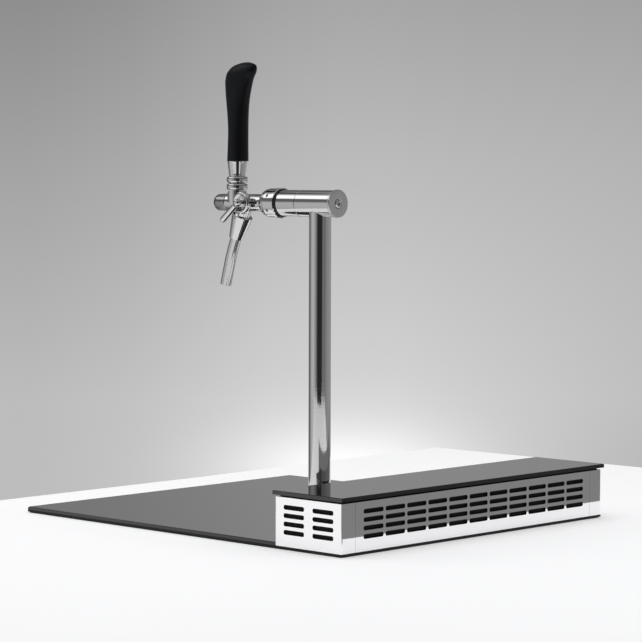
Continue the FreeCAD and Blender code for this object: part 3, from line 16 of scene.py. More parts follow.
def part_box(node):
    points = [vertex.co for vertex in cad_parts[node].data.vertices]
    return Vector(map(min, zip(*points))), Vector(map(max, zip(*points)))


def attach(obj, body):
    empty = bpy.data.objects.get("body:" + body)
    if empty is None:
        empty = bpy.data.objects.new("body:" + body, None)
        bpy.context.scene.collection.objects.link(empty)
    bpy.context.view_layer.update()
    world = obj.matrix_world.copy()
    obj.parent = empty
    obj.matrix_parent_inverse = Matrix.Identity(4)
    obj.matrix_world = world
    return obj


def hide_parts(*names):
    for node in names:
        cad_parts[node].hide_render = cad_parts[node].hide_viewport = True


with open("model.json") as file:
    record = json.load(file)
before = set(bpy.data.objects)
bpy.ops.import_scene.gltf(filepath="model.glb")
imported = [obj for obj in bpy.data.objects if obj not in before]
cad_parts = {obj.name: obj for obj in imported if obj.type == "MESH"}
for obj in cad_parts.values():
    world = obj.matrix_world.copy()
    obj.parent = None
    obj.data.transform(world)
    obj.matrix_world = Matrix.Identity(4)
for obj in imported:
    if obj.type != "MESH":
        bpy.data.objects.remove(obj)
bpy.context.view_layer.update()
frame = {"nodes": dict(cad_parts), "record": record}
nodes = frame["nodes"]
scene = bpy.context.scene
scene.view_settings.view_transform = "Standard"

# %% [markdown]
# The camera comes first. Its place was worked out from the corners of the plate and the lid,
# as a surveyor would: a long lens, a little above the lid, looking along a diagonal. Its three
# axes are written out as unit vectors, so nothing has to be aimed.

# %% Camera
IMAGE = 642
FOCAL_PIXELS = 2520
right = np.array([0.72335398, 0.69047244, 0.00261358])
up = np.array([-0.04195884, 0.04017819, 0.99831116])
ahead = np.array([-0.68920133, 0.72224201, -0.05803448])
camera_place = np.array([2.32563, -2.42361, 0.45597])

camera_data = bpy.data.cameras.new("portrait_camera")
camera_data.sensor_width = 36
camera_data.lens = FOCAL_PIXELS / IMAGE * camera_data.sensor_width
camera_data.clip_end = 60
camera = bpy.data.objects.new("portrait_camera", camera_data)
scene.collection.objects.link(camera)
turn = Matrix(np.column_stack([right, up, -ahead]).tolist()).to_4x4()
camera.matrix_world = Matrix.Translation(camera_place.tolist()) @ turn
scene.camera = camera
print("lens:", round(camera_data.lens, 2), "mm")

# %% [markdown]
# Shader maths reads best as maths. A Wire wraps a socket, and adding or multiplying wires adds
# the Math nodes. Everything else comes from one method, node, which takes the node's type, its
# settings and the values of its sockets.

# %% Wires
class Wire:
    """A socket of a finish that takes part in sums and products."""

    def __init__(self, finish, socket):
        self.finish = finish
        self.socket = socket

    def maths(self, operation, *others):
        """Add a Math node that works on this wire and the others."""
        return self.finish.node("Math", {"operation": operation}, dict(enumerate([self, *others])))

    def __add__(self, other):
        return self.maths("ADD", other)

    def __sub__(self, other):
        return self.maths("SUBTRACT", other)

    def __mul__(self, other):
        return self.maths("MULTIPLY", other)

    def __truediv__(self, other):
        return self.maths("DIVIDE", other)

    def __pow__(self, other):
        return self.maths("POWER", other)

    def __rsub__(self, other):
        return self.finish.node("Math", {"operation": "SUBTRACT"}, {0: other, 1: self})

    def clipped(self):
        """The value, kept between 0 and 1."""
        return self.finish.node("Clamp", None, {"Value": self})

    __radd__ = __add__
    __rmul__ = __mul__


class Finish:
    """A node tree that is filled one call at a time, of a material or of the world."""

    def __init__(self, owner):
        self.owner = owner
        self.tree = owner.node_tree
        self.tree.nodes.clear()

    def node(self, kind, settings=None, sockets=None, out=0):
        """Add a node: first its settings, then its socket values or links; return an output."""
        made = self.tree.nodes.new("ShaderNode" + kind)
        for name, value in (settings or {}).items():
            if name == "stops":
                ramp = made.color_ramp
                while len(ramp.elements) < len(value):
                    ramp.elements.new(1)
                for stop, (place, grey) in zip(ramp.elements, value):
                    stop.position = place
                    stop.color = (grey, grey, grey, 1) if np.isscalar(grey) else (*grey, 1)
            else:
                setattr(made, name, value)
        for name, value in (sockets or {}).items():
            if isinstance(value, Wire):
                self.tree.links.new(value.socket, made.inputs[name])
            else:
                made.inputs[name].default_value = value
        return Wire(self, made.outputs[out])

    def place(self, scale=(1, 1, 1), shift=(0, 0, 0)):
        """Object coordinates, shifted and then stretched."""
        spot = self.node("TexCoord", out="Object")
        return self.node("Mapping", {"vector_type": "POINT"},
                         {"Vector": spot, "Location": shift, "Scale": scale})

    def noise(self, scale, detail=2, stretch=(1, 1, 1), roughness=0.5):
        """Cloudy noise between 0 and 1."""
        return self.node("TexNoise", None, {"Vector": self.place(stretch), "Scale": scale,
                                            "Detail": detail, "Roughness": roughness})

    def ramp(self, value, stops):
        """A greyscale or colour ramp."""
        return self.node("ValToRGB", {"stops": stops}, {"Fac": value})

    def blend(self, share, first, second):
        """Two colours mixed by a share."""
        return self.node("Mix", {"data_type": "RGBA"},
                         {"Factor": share, 6: first, 7: second}, out=2)

    def bump(self, height, strength, distance, after=None):
        """A bumped normal."""
        sockets = {"Height": height, "Strength": strength, "Distance": distance}
        if after is not None:
            sockets["Normal"] = after
        return self.node("Bump", None, sockets)

    def surface(self, **sockets):
        """End in a Principled shader."""
        named = {name.replace("_", " "): value for name, value in sockets.items()}
        shader = self.node("BsdfPrincipled", None, named, out="BSDF")
        self.node_out(shader)
        return self.owner

    def node_out(self, shader, kind="OutputMaterial"):
        """Link a shader to the output."""
        last = self.tree.nodes.new("ShaderNode" + kind)
        self.tree.links.new(shader.socket, last.inputs["Surface"])


def finish(name):
    """A new material's Finish."""
    material = bpy.data.materials.new(name)
    material.use_nodes = True
    return Finish(material)


print("wires ready")

# %% [markdown]
# Mirror-like metal shows its surroundings, so the surroundings are designed before the metal.
# The world is a photographer's room. Behind the object stands a grey paper wall, darker at the
# top and towards the sides, with a soft glow low down. It is written in shares of the picture:
# how far a ray leans to the right or up, divided by how far it goes ahead.

# %% The wall behind
world = bpy.data.worlds.new("studio_room")
scene.world = world
world.use_nodes = True
room = Finish(world)
ray = room.node("TexCoord", out="Generated")


def lean(axis):
    """How far a ray goes along an axis: their dot product."""
    return room.node("VectorMath", {"operation": "DOT_PRODUCT"},
                     {0: ray, 1: tuple(map(float, axis))}, out="Value")


def bell(value, middle, width):
    """A bell curve: e to the power of minus the square of the distance over the width."""
    reach = (value - middle) / width
    return (reach * reach * -1).maths("EXPONENT")


PICTURE_REACH = FOCAL_PIXELS / IMAGE
depth = lean(ahead)
far = depth.maths("MAXIMUM", 0.25)
share_right = (lean(right) / far * PICTURE_REACH + 0.5).clipped()
drop = 0.5 - lean(up) / far * PICTURE_REACH
share_down = drop.clipped()
above_picture = (0 - drop).clipped()
wall_tone = room.ramp(share_down, [(0.0, 0.645), (0.25, 0.725), (0.62, 0.825), (1.0, 0.83)])
left_fall = room.ramp(share_right, [(0.05, 0.092), (0.2, 0.07), (0.42, 0.012), (0.52, 0.0)])
right_fall = room.ramp(share_right, [(0.62, 0.0), (1.0, 1.0)])
glow = bell(share_right, 0.54, 0.19) * bell(share_down, 0.735, 0.075) * 0.19
tone = (wall_tone - left_fall - right_fall * (share_down * share_down * 0.16 + 0.016) + glow
        + above_picture * 0.26)
in_front = room.ramp(depth, [(0.3, 0.0), (0.7, 1.0)])
PLAIN_TONE = 0.82
wall = (tone.clipped() * in_front + PLAIN_TONE * (1 - in_front)) ** 2.2
print("wall nodes:", len(room.tree.nodes))

# %% [markdown]
# The rest of the room is only seen in the metal. Going round from the camera: darkness behind
# the camera, a tall grey reflector on the left, a gap, the wall, and dimmer grey on the right.
# Higher up, a soft box hangs on the left. Ramps over the bearing and the height say this in a
# few stops. The camera sees only the wall. Mirrors see the wall where the picture has it and
# the room elsewhere. Matt surfaces get an even grey, so the light on the object stays plain.

# %% The room in the metal
height = room.node("SeparateXYZ", None, {0: ray}, out="Z")
x_part, y_part = [Wire(room, height.socket.node.outputs[name]) for name in "XY"]
sideways = x_part * float(right[0]) + y_part * float(right[1])
forward = x_part * float(ahead[0]) + y_part * float(ahead[1])
bearing = room.node("Math", {"operation": "ARCTAN2"}, {0: sideways, 1: forward})
turn_share = bearing / (2 * math.pi) + 0.5
around = room.ramp(turn_share, [
    (0.00, 0.08), (0.08, 0.10), (0.15, 0.46), (0.20, 0.66), (0.26, 0.60), (0.35, 0.13),
    (0.45, 0.30), (0.62, 0.42), (0.80, 0.34), (0.87, 0.19), (0.91, 0.26), (0.96, 0.03)])
soft_box = (room.ramp(height, [(0.42, 0.0), (0.50, 1.0), (0.66, 1.0), (0.72, 0.0)])
            * room.ramp(turn_share, [(0.10, 0.0), (0.14, 1.0), (0.31, 1.0), (0.36, 0.0)]))
ceiling = room.ramp(height, [(0.15, 0.17), (0.60, 0.14), (0.74, 0.42), (1.0, 0.36)])
low = room.ramp(height, [(0.05, 1.0), (0.20, 0.0)])
surroundings = around * low + ceiling * (1 - low) + soft_box * 1.5
in_view = room.ramp(depth, [(0.93, 0.0), (0.97, 1.0)])
mirrored = wall * in_view + surroundings * (1 - in_view)
DIFFUSE_LEVEL = 0.42
path = room.node("LightPath", out="Is Camera Ray")
glossy = Wire(room, path.socket.node.outputs["Is Glossy Ray"])
clear = Wire(room, path.socket.node.outputs["Is Transmission Ray"])
seen = path * wall + (1 - path) * ((glossy + clear).clipped() * (mirrored - DIFFUSE_LEVEL)
                                   + DIFFUSE_LEVEL)
background = room.node("Background", None, {"Color": seen, "Strength": 1.0}, out="Background")
room.node_out(background, "OutputWorld")
print("room nodes:", len(room.tree.nodes))

# %% [markdown]
# The table is a plain white sheet with a slanted far edge, where the wall begins. Its edge is
# found by sending rays through points of the picture down to the height of the table. White
# paper is overexposed on such a set, so for eyes and mirrors it gets a little light of its own;
# the object's shadow stays on it.

# %% Table
TABLE_GLOW = 0.27
FAR_EDGE_IN_PICTURE = [(-160, 519), (200, 477), (436, 447.5), (760, 479)]


def on_table(picture_x, picture_y):
    """The table point behind a point of the picture: follow the ray until its height is 0."""
    ray_way = (ahead + right * (picture_x - IMAGE / 2) / FOCAL_PIXELS
               - up * (picture_y - IMAGE / 2) / FOCAL_PIXELS)
    return (camera_place - ray_way * camera_place[2] / ray_way[2])[:2]


def new_object(name, points, faces):
    """A mesh object made of points and the faces that join them."""
    mesh = bpy.data.meshes.new(name)
    mesh.from_pydata(np.reshape(points, (-1, 3)).tolist(), [], np.array(faces).tolist())
    made = bpy.data.objects.new(name, mesh)
    scene.collection.objects.link(made)
    return made


def flat_sheet(name, corners, heights):
    """A flat many-sided sheet through corners given as (x, y) pairs and their heights."""
    points = np.column_stack([np.array(corners, float), np.broadcast_to(heights, len(corners))])
    return new_object(name, points, [range(len(points))])


far_edge = [on_table(x, y) for x, y in FAR_EDGE_IN_PICTURE]
near_edge = [(2.1, 0.1), (1.9, -2.2), (-0.5, -2.2)]
table = flat_sheet("table", [tuple(map(float, spot)) for spot in far_edge + near_edge], 0.0)
paper = finish("white_table")
sight = paper.node("LightPath", out="Is Camera Ray")
sight = (sight + Wire(paper, sight.socket.node.outputs["Is Glossy Ray"])
         + Wire(paper, sight.socket.node.outputs["Is Transmission Ray"])).clipped()
own_light = paper.blend(sight, (0, 0, 0, 1), (0.98, 0.99, 1.0, 1))
table.data.materials.append(paper.surface(**{
    "Base Color": (0.86, 0.86, 0.87, 1), "Roughness": 0.6, "Specular IOR Level": 0.2,
    "Emission Color": own_light, "Emission Strength": TABLE_GLOW}))
print("table corners:", len(table.data.vertices))

# %% [markdown]
# Two cards are set up out of the picture, and only mirrors see them. A grey one beside the
# long side of the vent box turns the upper part of the polished sheet grey, and leaves the
# table's white in the lowest part. A black one hangs in front and draws the dark line down the
# middle of every round piece, without which chrome on a white set looks like plaster.

# %% Cards
def card(name, start, end, low, top, grey_level):
    """An upright card between two (x, y) spots and two heights, seen in mirrors only."""
    corners = [start, end, end, start]
    made = flat_sheet(name, corners, [low, low, top, top])
    paint = finish(name)
    made.data.materials.append(paint.surface(**{
        "Base Color": (0.0, 0.0, 0.0, 1), "Roughness": 1.0, "Specular IOR Level": 0.0,
        "Emission Color": (grey_level, grey_level, grey_level, 1), "Emission Strength": 1.0}))
    made.visible_camera = False
    made.visible_diffuse = False
    made.visible_shadow = False
    return made


GREY_CARD_REACH, GREY_CARD_TOP = 0.105, 0.085
card_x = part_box("long_grille")[1][0] + GREY_CARD_REACH
cards = [card("grey_card", (card_x, -0.5), (card_x, 0.9), 0.0, GREY_CARD_TOP, 0.215),
         card("black_card", (0.29, -0.62), (0.55, -0.37), 0.13, 0.64, 0.03)]
print("cards:", [made.name for made in cards])

# %% [markdown]
# Three soft panels light the set evenly: a broad one overhead, and weaker ones on the left and
# the right. Mirrors don't see them, because the room already has its own bright places.

# %% Lights
def light_panel(name, place, target, size, power):
    """A square area light at a place, facing a target."""
    data = bpy.data.lights.new(name, "AREA")
    data.shape = "SQUARE"
    data.size = size
    data.energy = power
    made = bpy.data.objects.new(name, data)
    scene.collection.objects.link(made)
    aim = (Vector(target) - Vector(place)).to_track_quat("-Z", "Y")
    made.matrix_world = Matrix.Translation(place) @ aim.to_matrix().to_4x4()
    made.visible_glossy = False
    return made


panels = [
    light_panel("overhead_panel", (0.0, -0.2, 2.6), (0.0, 0.0, 0.0), 2.2, 30),
    light_panel("left_panel", (-2.2, -1.6, 1.2), (0.1, -0.1, 0.2), 1.2, 10),
    light_panel("right_panel", (2.2, 0.8, 1.4), (0.1, 0.0, 0.1), 1.0, 6),
]
print("panels:", [panel.name for panel in panels])

# %% [markdown]
# Finishes. Black glass is nearly black paint under a clear mirror: at this low angle the mirror
# wins and shows the wall. Polished steel is a mirror with very fine lines in it. The turned
# end cap is duller, with rings. The grip is moulded plastic with a faint grain.

# %% Glass and metal
box_low, box_high = np.array(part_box("front_end_panel")[0]), np.array(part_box("rear_end_panel")[1])
PAINTED_SHADE_DEPTH = 0.0006


def black_glass():
    """Opaque black with a polished surface and a trace of dust."""
    glass = finish("black_glass")
    dust = glass.noise(900, 2)
    haze = glass.noise(7, 3)
    return glass.surface(**{
        "Base Color": (0.006, 0.006, 0.007, 1), "IOR": 1.6,
        "Roughness": glass.ramp(dust * 0.4 + haze * 0.6, [(0.3, 0.02), (0.75, 0.06)])})


def outer_face(steel):
    """1 on the outer faces of the vent box, 0 deeper inside, where the black painted shade starts.
    """
    x = steel.node("SeparateXYZ", None, {0: steel.node("TexCoord", out="Object")}, out="X")
    y = Wire(steel, x.socket.node.outputs["Y"])
    faces = [x.maths("GREATER_THAN", box_high[0] - PAINTED_SHADE_DEPTH),
             x.maths("LESS_THAN", box_low[0] + PAINTED_SHADE_DEPTH),
             y.maths("ABSOLUTE").maths("GREATER_THAN", box_high[1] - PAINTED_SHADE_DEPTH)]
    return sum(faces, 0.0).clipped()


def polished_steel(name, tone, lines, low, high, relief=0.00002, shaded_inside=False):
    """A mirror with fine polishing lines: stretched noise bumps it and varies its roughness.
    With shaded_inside, its inner side is coloured black as painted shade for the dark inside of
    the box, so nothing glints behind its slots."""
    steel = finish(name)
    grain = steel.noise(60, 2, lines)
    smudge = steel.noise(18, 3)
    colour = steel.blend(smudge, (tone * 0.97, tone * 0.97, tone * 0.975, 1),
                         (tone, tone, tone * 1.005, 1))
    metallic = 1.0
    rough = steel.ramp(grain, [(0.3, low), (0.7, high)])
    # Painted shade: black, matt, non-metal colour on the inner side stands in for the dark inside of
    # the box.
    if shaded_inside:
        outside = outer_face(steel)
        colour = steel.blend(outside, (0.004, 0.004, 0.004, 1), colour)
        metallic = outside
        rough = rough * outside + 0.8 * (1 - outside)
    return steel.surface(**{
        "Base Color": colour, "Metallic": metallic, "Roughness": rough,
        "Normal": steel.bump(grain, 0.3, relief)})


def turned_metal(name, tone, centre, pitch, roughness):
    """Dull metal with rings about the head's axis: a sine of the distance from the axis."""
    metal = finish(name)
    spot = metal.place((0, 1, 1), (0, -centre[0], -centre[1]))
    reach = metal.node("VectorMath", {"operation": "LENGTH"}, {0: spot}, out="Value")
    rings = (reach * (2 * math.pi / pitch)).maths("SINE") * 0.5 + 0.5
    speckle = metal.noise(1400, 2)
    return metal.surface(**{
        "Base Color": metal.blend(rings * 0.5 + speckle * 0.5, (*[tone * 0.8] * 3, 1),
                                  (*[tone] * 3, 1)),
        "Metallic": 1.0,
        "Roughness": metal.ramp(speckle, [(0.2, roughness - 0.06), (0.8, roughness + 0.06)]),
        "Normal": metal.bump(rings, 0.12, 0.0001)})


def moulded(name, colour, roughness, grain, depth, shine=0.5):
    """Moulded plastic or rubber with a fine grain."""
    plastic = finish(name)
    pits = plastic.noise(grain, 3)
    wide = plastic.noise(25, 2)
    light = tuple(c * 1.35 for c in colour)
    return plastic.surface(**{
        "Base Color": plastic.blend(wide, (*colour, 1), (*light, 1)),
        "Roughness": plastic.ramp(pits, [(0.25, roughness - 0.05), (0.75, roughness + 0.07)]),
        "Normal": plastic.bump(pits, 0.12, depth), "Specular IOR Level": shine})


finishes = {
    "black_glass": black_glass(),
    "black_steel": moulded("black_steel", (0.004, 0.004, 0.004), 0.45, 2500, 0.00005, 0.25),
    "polished_steel": polished_steel("polished_steel", 0.62, (1, 1, 14), 0.03, 0.08),
    "turned_steel": turned_metal("turned_steel", 0.66, (-0.150, 0.4198), 0.0009, 0.30),
    "chrome_plate": polished_steel("chrome_plate", 0.66, (3, 3, 3), 0.02, 0.05),
    "zinc": polished_steel("zinc", 0.5, (1, 1, 1), 0.3, 0.4),
    "black_plastic": moulded("black_plastic", (0.014, 0.014, 0.015), 0.45, 2200, 0.00006),
    "grip_plastic": moulded("grip_plastic", (0.0014, 0.0020, 0.0034), 0.40, 1500, 0.00008,
                            0.22),
    "black_rubber": moulded("black_rubber", (0.01, 0.01, 0.01), 0.7, 1800, 0.0001),
    "hose_plastic": moulded("hose_plastic", (0.6, 0.61, 0.58), 0.3, 900, 0.00005),
}
# Both vent box sheets get black painted shade on their inner side.
mirror_sheet = polished_steel("mirror_sheet", 0.93, (1, 1, 20), 0.02, 0.05, 0.000004, True)
brushed_sheet = polished_steel("brushed_sheet", 0.80, (1, 30, 1), 0.30, 0.42, 0.00001, True)
WALLS = ("front_end_panel", "rear_end_panel", "long_grille")
slots = {part["node"]: part["material_slot"] for part in frame["record"]["subparts"]}
for name, node in nodes.items():
    for index in range(len(node.material_slots)):
        node.material_slots[index].link = "OBJECT"
        chosen = mirror_sheet if name in WALLS else finishes[slots[name]]
        node.material_slots[index].material = chosen
nodes["inner_wall"].material_slots[0].material = brushed_sheet
print("finishes:", sorted(finishes))

# %% [markdown]
# Skins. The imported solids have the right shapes, but their edges are as sharp as a drawing's.
# Real turned and cast pieces have small rounded edges that catch a line of light. Each skin is
# a grid of points, worked out for all its points at once, and joined by quads to its
# neighbours. It takes the place of its solid and rides on the same body.

# %% Grid to mesh
bodies = frame["record"]["behaviour"]["bodies"]
rider = {name: body for body, names in bodies.items() for name in names}
MM = 0.001


def smooth_object(name, points, quads):
    """A closed, smooth object. Points that fall together, as at a pole, are merged."""
    made = new_object(name, points, quads.reshape(-1, 4))
    work = bmesh.new()
    work.from_mesh(made.data)
    bmesh.ops.remove_doubles(work, verts=work.verts, dist=1e-7)
    bmesh.ops.recalc_face_normals(work, faces=work.faces)
    work.to_mesh(made.data)
    work.free()
    made.data.shade_smooth()
    return made


def grid_mesh(name, grid, ring=False):
    """Quads over a grid of points (rows, columns, 3). Columns run once round; with ring the rows
    close on themselves too."""
    rows, columns = grid.shape[:2]
    index = np.arange(rows * columns).reshape(rows, columns)
    near, below = (index, np.roll(index, -1, axis=0)) if ring else (index[:-1], index[1:])
    quads = np.stack([near, np.roll(near, -1, axis=1), np.roll(below, -1, axis=1), below], axis=-1)
    return smooth_object(name, grid, quads)


def dress(piece, node, material=None):
    """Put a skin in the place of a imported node, on its body and in its finish."""
    piece.data.materials.append(material or finishes[slots[node]])
    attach(piece, rider[node])
    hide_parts(node)
    print(piece.name, "rides on", rider[node], "with", len(piece.data.polygons), "faces")
    return piece


# %% [markdown]
# A turned piece is an outline spun about an axis, as on a lathe. The outline is given by its
# corners, each with the size of its rounding. A rounding is a Bezier arc: it leaves one edge,
# bends towards the corner and joins the next edge.

# %% Lathe
STEPS = 7
AROUND = 96


def outline(corners, closed=False):
    """Corners (along, radius, rounding) in millimetres to an outline with rounded corners.
    Point at share t of an arc: (1-t)^2 start + 2t(1-t) corner + t^2 end."""
    spots = np.array([corner[:2] for corner in corners], float)
    sizes = np.array([corner[2] for corner in corners], float)
    before, after = np.roll(spots, 1, axis=0), np.roll(spots, -1, axis=0)
    if not closed:
        before[0], after[-1] = spots[0], spots[-1]

    def towards(ends):
        way = ends - spots
        length = np.maximum(np.linalg.norm(way, axis=1, keepdims=True), 1e-9)
        return spots + way / length * sizes[:, None]

    t = np.linspace(0, 1, STEPS)[None, :, None]
    arcs = ((1 - t) ** 2 * towards(before)[:, None] + 2 * t * (1 - t) * spots[:, None]
            + t ** 2 * towards(after)[:, None]).reshape(-1, 2)
    fresh = np.ones(len(arcs), bool)
    fresh[1:] = np.linalg.norm(np.diff(arcs, axis=0), axis=1) > 1e-6
    return arcs[fresh] * MM


def unit(vector):
    """A vector of length 1."""
    return np.array(vector, float) / np.linalg.norm(vector)


def spun(profile, centre, axis, around=AROUND):
    """An outline spun about an axis: centre + axis * along + radius * (side cos + third sin)."""
    axis = unit(axis)
    side = unit(np.cross(axis, (0.31, 0.52, 0.79)))
    third = np.cross(axis, side)
    angle = np.linspace(0, 2 * np.pi, around, endpoint=False)
    circle = np.cos(angle)[:, None] * side + np.sin(angle)[:, None] * third
    return (np.array(centre) + profile[:, None, :1] * axis
            + profile[:, None, 1:] * circle[None])


def turned_skin(name, node, corners, centre, axis, closed=False, material=None):
    """Dress a node in an outline spun about an axis; a closed outline makes a ring."""
    grid = spun(outline(corners, closed), centre, axis)
    return dress(grid_mesh(name, grid, closed), node, material)


# %% [markdown]
# The handle stands on the tap: two chrome rings with fat roundings, a cone that widens upwards,
# and the black grip. The rings are closed outlines with a bore for the lever.

# %% Rings and cone of the handle
head_middle = np.array(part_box("head_body")).mean(axis=0)
axis_y, head_z = map(float, head_middle[1:])
handle_foot = np.array(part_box("lower_collar"))
handle_x, collar_z = float(handle_foot[:, 0].mean()), float(handle_foot[0, 2])
UP = (0, 0, 1)
FORWARD = (-1, 0, 0)
handle_axis = (handle_x, axis_y, collar_z)
STEM = 4
turned_skin("lower_ring", "lower_collar", [
    (0, STEM, 0.2), (0, 13.8, 3.4), (8.6, 13.8, 3.4), (8.6, 10, 0.1), (9, 10, 0.1),
    (9, STEM, 0.1)], handle_axis, UP, True)
turned_skin("upper_ring", "upper_collar", [
    (9, STEM, 0.2), (9, 13.8, 3.4), (17.6, 13.8, 3.4), (17.6, 10, 0.1), (18, 10, 0.1),
    (18, STEM, 0.1)], handle_axis, UP, True)
turned_skin("cone", "ferrule", [
    (18, STEM, 0.2), (18, 10.6, 0.9), (20.6, 10.75, 0.5), (35.2, 12.6, 0.8), (36.2, 12.9, 0.2),
    (37.2, 12.9, 0.3), (37.2, STEM, 0.2)], handle_axis, UP, True)

# %% [markdown]
# The grip is one smooth moulding. It could be sculpted, but it is better lofted: half widths
# and the lean of a few sections, as measured up its height, are joined by smooth curves, and
# every level is an ellipse. A faint seam runs down front and back where the mould closed.

# %% Grip
GRIP_LENGTH = 126
SECTIONS = np.array([
    (0.00, 14.2, 13.4, 1.1), (0.16, 13.7, 13.0, 1.5), (0.32, 13.8, 12.5, 1.8),
    (0.46, 15.2, 12.1, 1.4), (0.60, 17.6, 11.8, 1.1), (0.74, 21.1, 11.5, 2.2),
    (0.84, 23.7, 10.7, 4.4), (0.92, 24.2, 9.0, 9.7), (0.97, 18.7, 6.2, 14.1),
    (1.00, 9.5, 3.0, 17.0)])


def smooth_curve(places, values, wanted):
    """A smooth curve through points: each stretch is a cubic whose end slopes are the slopes
    between the neighbours (cubic Hermite)."""
    slopes = np.gradient(values, places, axis=0)
    left = np.clip(np.searchsorted(places, wanted, side="right") - 1, 0, len(places) - 2)
    gap = (places[left + 1] - places[left])[:, None]
    t = ((wanted - places[left]) / gap[:, 0])[:, None]
    return ((2 * t ** 3 - 3 * t ** 2 + 1) * values[left]
            + (t ** 3 - 2 * t ** 2 + t) * gap * slopes[left]
            + (3 * t ** 2 - 2 * t ** 3) * values[left + 1]
            + (t ** 3 - t ** 2) * gap * slopes[left + 1])


DOME_START = 0.965
DOME_SQUARENESS = 0.62
DOME_LEVELS = 24


def grip_grid(levels=100, around=128):
    """Ellipses stacked up: x = lean + half length cos, y = half width sin, z = share * height.
    Over the last share the ellipses shrink by a power of the cosine while the height grows by
    the same power of the sine, which is a rounded square corner."""
    dome = np.linspace(0, np.pi / 2, DOME_LEVELS)
    share = np.concatenate([[0, 0, 0.0005, 0.002], np.linspace(0.005, DOME_START - 0.005, levels),
                            DOME_START + (1 - DOME_START) * np.sin(dome) ** DOME_SQUARENESS])
    long_half, wide_half, shift = smooth_curve(SECTIONS[:, 0], SECTIONS[:, 1:], share).T
    crown = np.maximum(np.cos(dome), 0) ** DOME_SQUARENESS
    edge = np.concatenate([[0, 0.93, 0.97, 0.99], np.ones(levels), crown[:-1], [0]])
    angle = np.linspace(0, 2 * np.pi, around, endpoint=False)
    seam = 0.08 * np.exp(-(np.sin(angle) / 0.05) ** 2)
    x = shift[:, None] + edge[:, None] * (long_half[:, None] + seam) * np.cos(angle)
    y = edge[:, None] * wide_half[:, None] * np.sin(angle)
    z = np.broadcast_to((share * GRIP_LENGTH)[:, None], x.shape)
    return np.stack([x, y, z], axis=-1) * MM


grip_foot = np.array([handle_x, axis_y, float(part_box("grip")[0][2])])
dress(grid_mesh("moulded_grip", grip_grid() + grip_foot), "grip")

# %% [markdown]
# The head is a cross cylinder of plain tube. Its end cap is a disc, turned dull in fine rings,
# with a bright screw in the middle. The screw has a domed head with a hexagon socket: rings of
# points that start as circles, become hexagons at the socket's mouth and go down to its floor.

# %% End cap and screw
cap_low, cap_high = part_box("end_cap")
CAP_RADIUS, CAP_BORE = 17.6, 5.6
cap_thick = (cap_high[0] - cap_low[0]) / MM
cap_foot = (float(cap_low[0]), axis_y, head_z)
OUT = (1, 0, 0)
turned_skin("cap_disc", "end_cap", [
    (0, 3, 0.1), (0, CAP_RADIUS, 0.2), (cap_thick, CAP_RADIUS, 0.9),
    (cap_thick, CAP_BORE + 0.7, 0.3), (cap_thick - 0.8, CAP_BORE, 0.2),
    (cap_thick - 2.4, 3, 0.2)], cap_foot, OUT, True)

SOCKET = 2.1


def hexagon(angle):
    """Distance to a hexagon's side: half its width over the cosine of the angle off the side."""
    return 1 / np.cos((angle + np.pi / 6) % (np.pi / 3) - np.pi / 6)


def screw_grid(around=72):
    """Rings from the shank over the domed head into the socket; share 1 means hexagonal."""
    rings = np.array([
        (-7.6, 0, 0), (-7.6, 2.9, 0), (1.0, 2.9, 0), (2.5, 5.3, 0), (3.5, 5.3, 0), (3.9, 5.0, 0),
        (4.2, 4.4, 0), (4.35, 3.6, 0), (4.4, 2.9, 0.2), (4.35, 2.5, 0.8), (4.1, SOCKET, 1),
        (1.9, SOCKET, 1), (1.8, SOCKET * 0.9, 1), (1.7, 0, 1)])
    angle = np.linspace(0, 2 * np.pi, around, endpoint=False)
    radius = rings[:, 1:2] * (1 + rings[:, 2:] * (hexagon(angle)[None] - 1))
    along = np.broadcast_to(rings[:, :1], radius.shape)
    return np.stack([along, radius * np.cos(angle), radius * np.sin(angle)], axis=-1) * MM


dress(grid_mesh("socket_screw", screw_grid() + np.array(cap_foot)), "cap_screw",
      finishes["chrome_plate"])

# %% [markdown]
# The front of the tap is a plug with a bull nose and a fine groove where it meets the barrel.
# It is duller than the rest, and its colour is darkened as painted shade.

# %% Front plug
# Painted shade: the low tone of 0.34 darkens the plug's colour; the higher roughness makes it dull.
dull_shaded_chrome = polished_steel("dull_shaded_chrome", 0.34, (3, 3, 3), 0.16, 0.28, 0.00012)
plug_end = (float(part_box("front_cap")[1][0]) - 3 * MM, axis_y, head_z)
turned_skin("front_plug", "front_cap", [
    (-3, 0, 0), (-3, 6.9, 0.2), (0, 6.9, 0.1), (0, 10.6, 0.4), (1.0, 10.2, 0.3), (1.6, 11, 0.4),
    (16.7, 11, 2.5), (24.2, 9.4, 7.0), (24.2, 0, 0)], plug_end, FORWARD, material=dull_shaded_chrome)

# %% [markdown]
# The spout is drawn tube and a little duller than the tap, with fine lines along it.

# %% Spout finish
drawn_tube = polished_steel("drawn_tube", 0.56, (6, 6, 1), 0.05, 0.08, 0.0000008)
nodes["spout_tube"].material_slots[0].material = drawn_tube
print("spout tube:", drawn_tube.name)

# %% [markdown]
# Flow control on the side of the tap: a dished dial with a raised rim, a domed nut, and a lever
# whose end is rounded like a finger. The dished face is what makes the bright ring in the
# picture, so the rim is drawn wide.

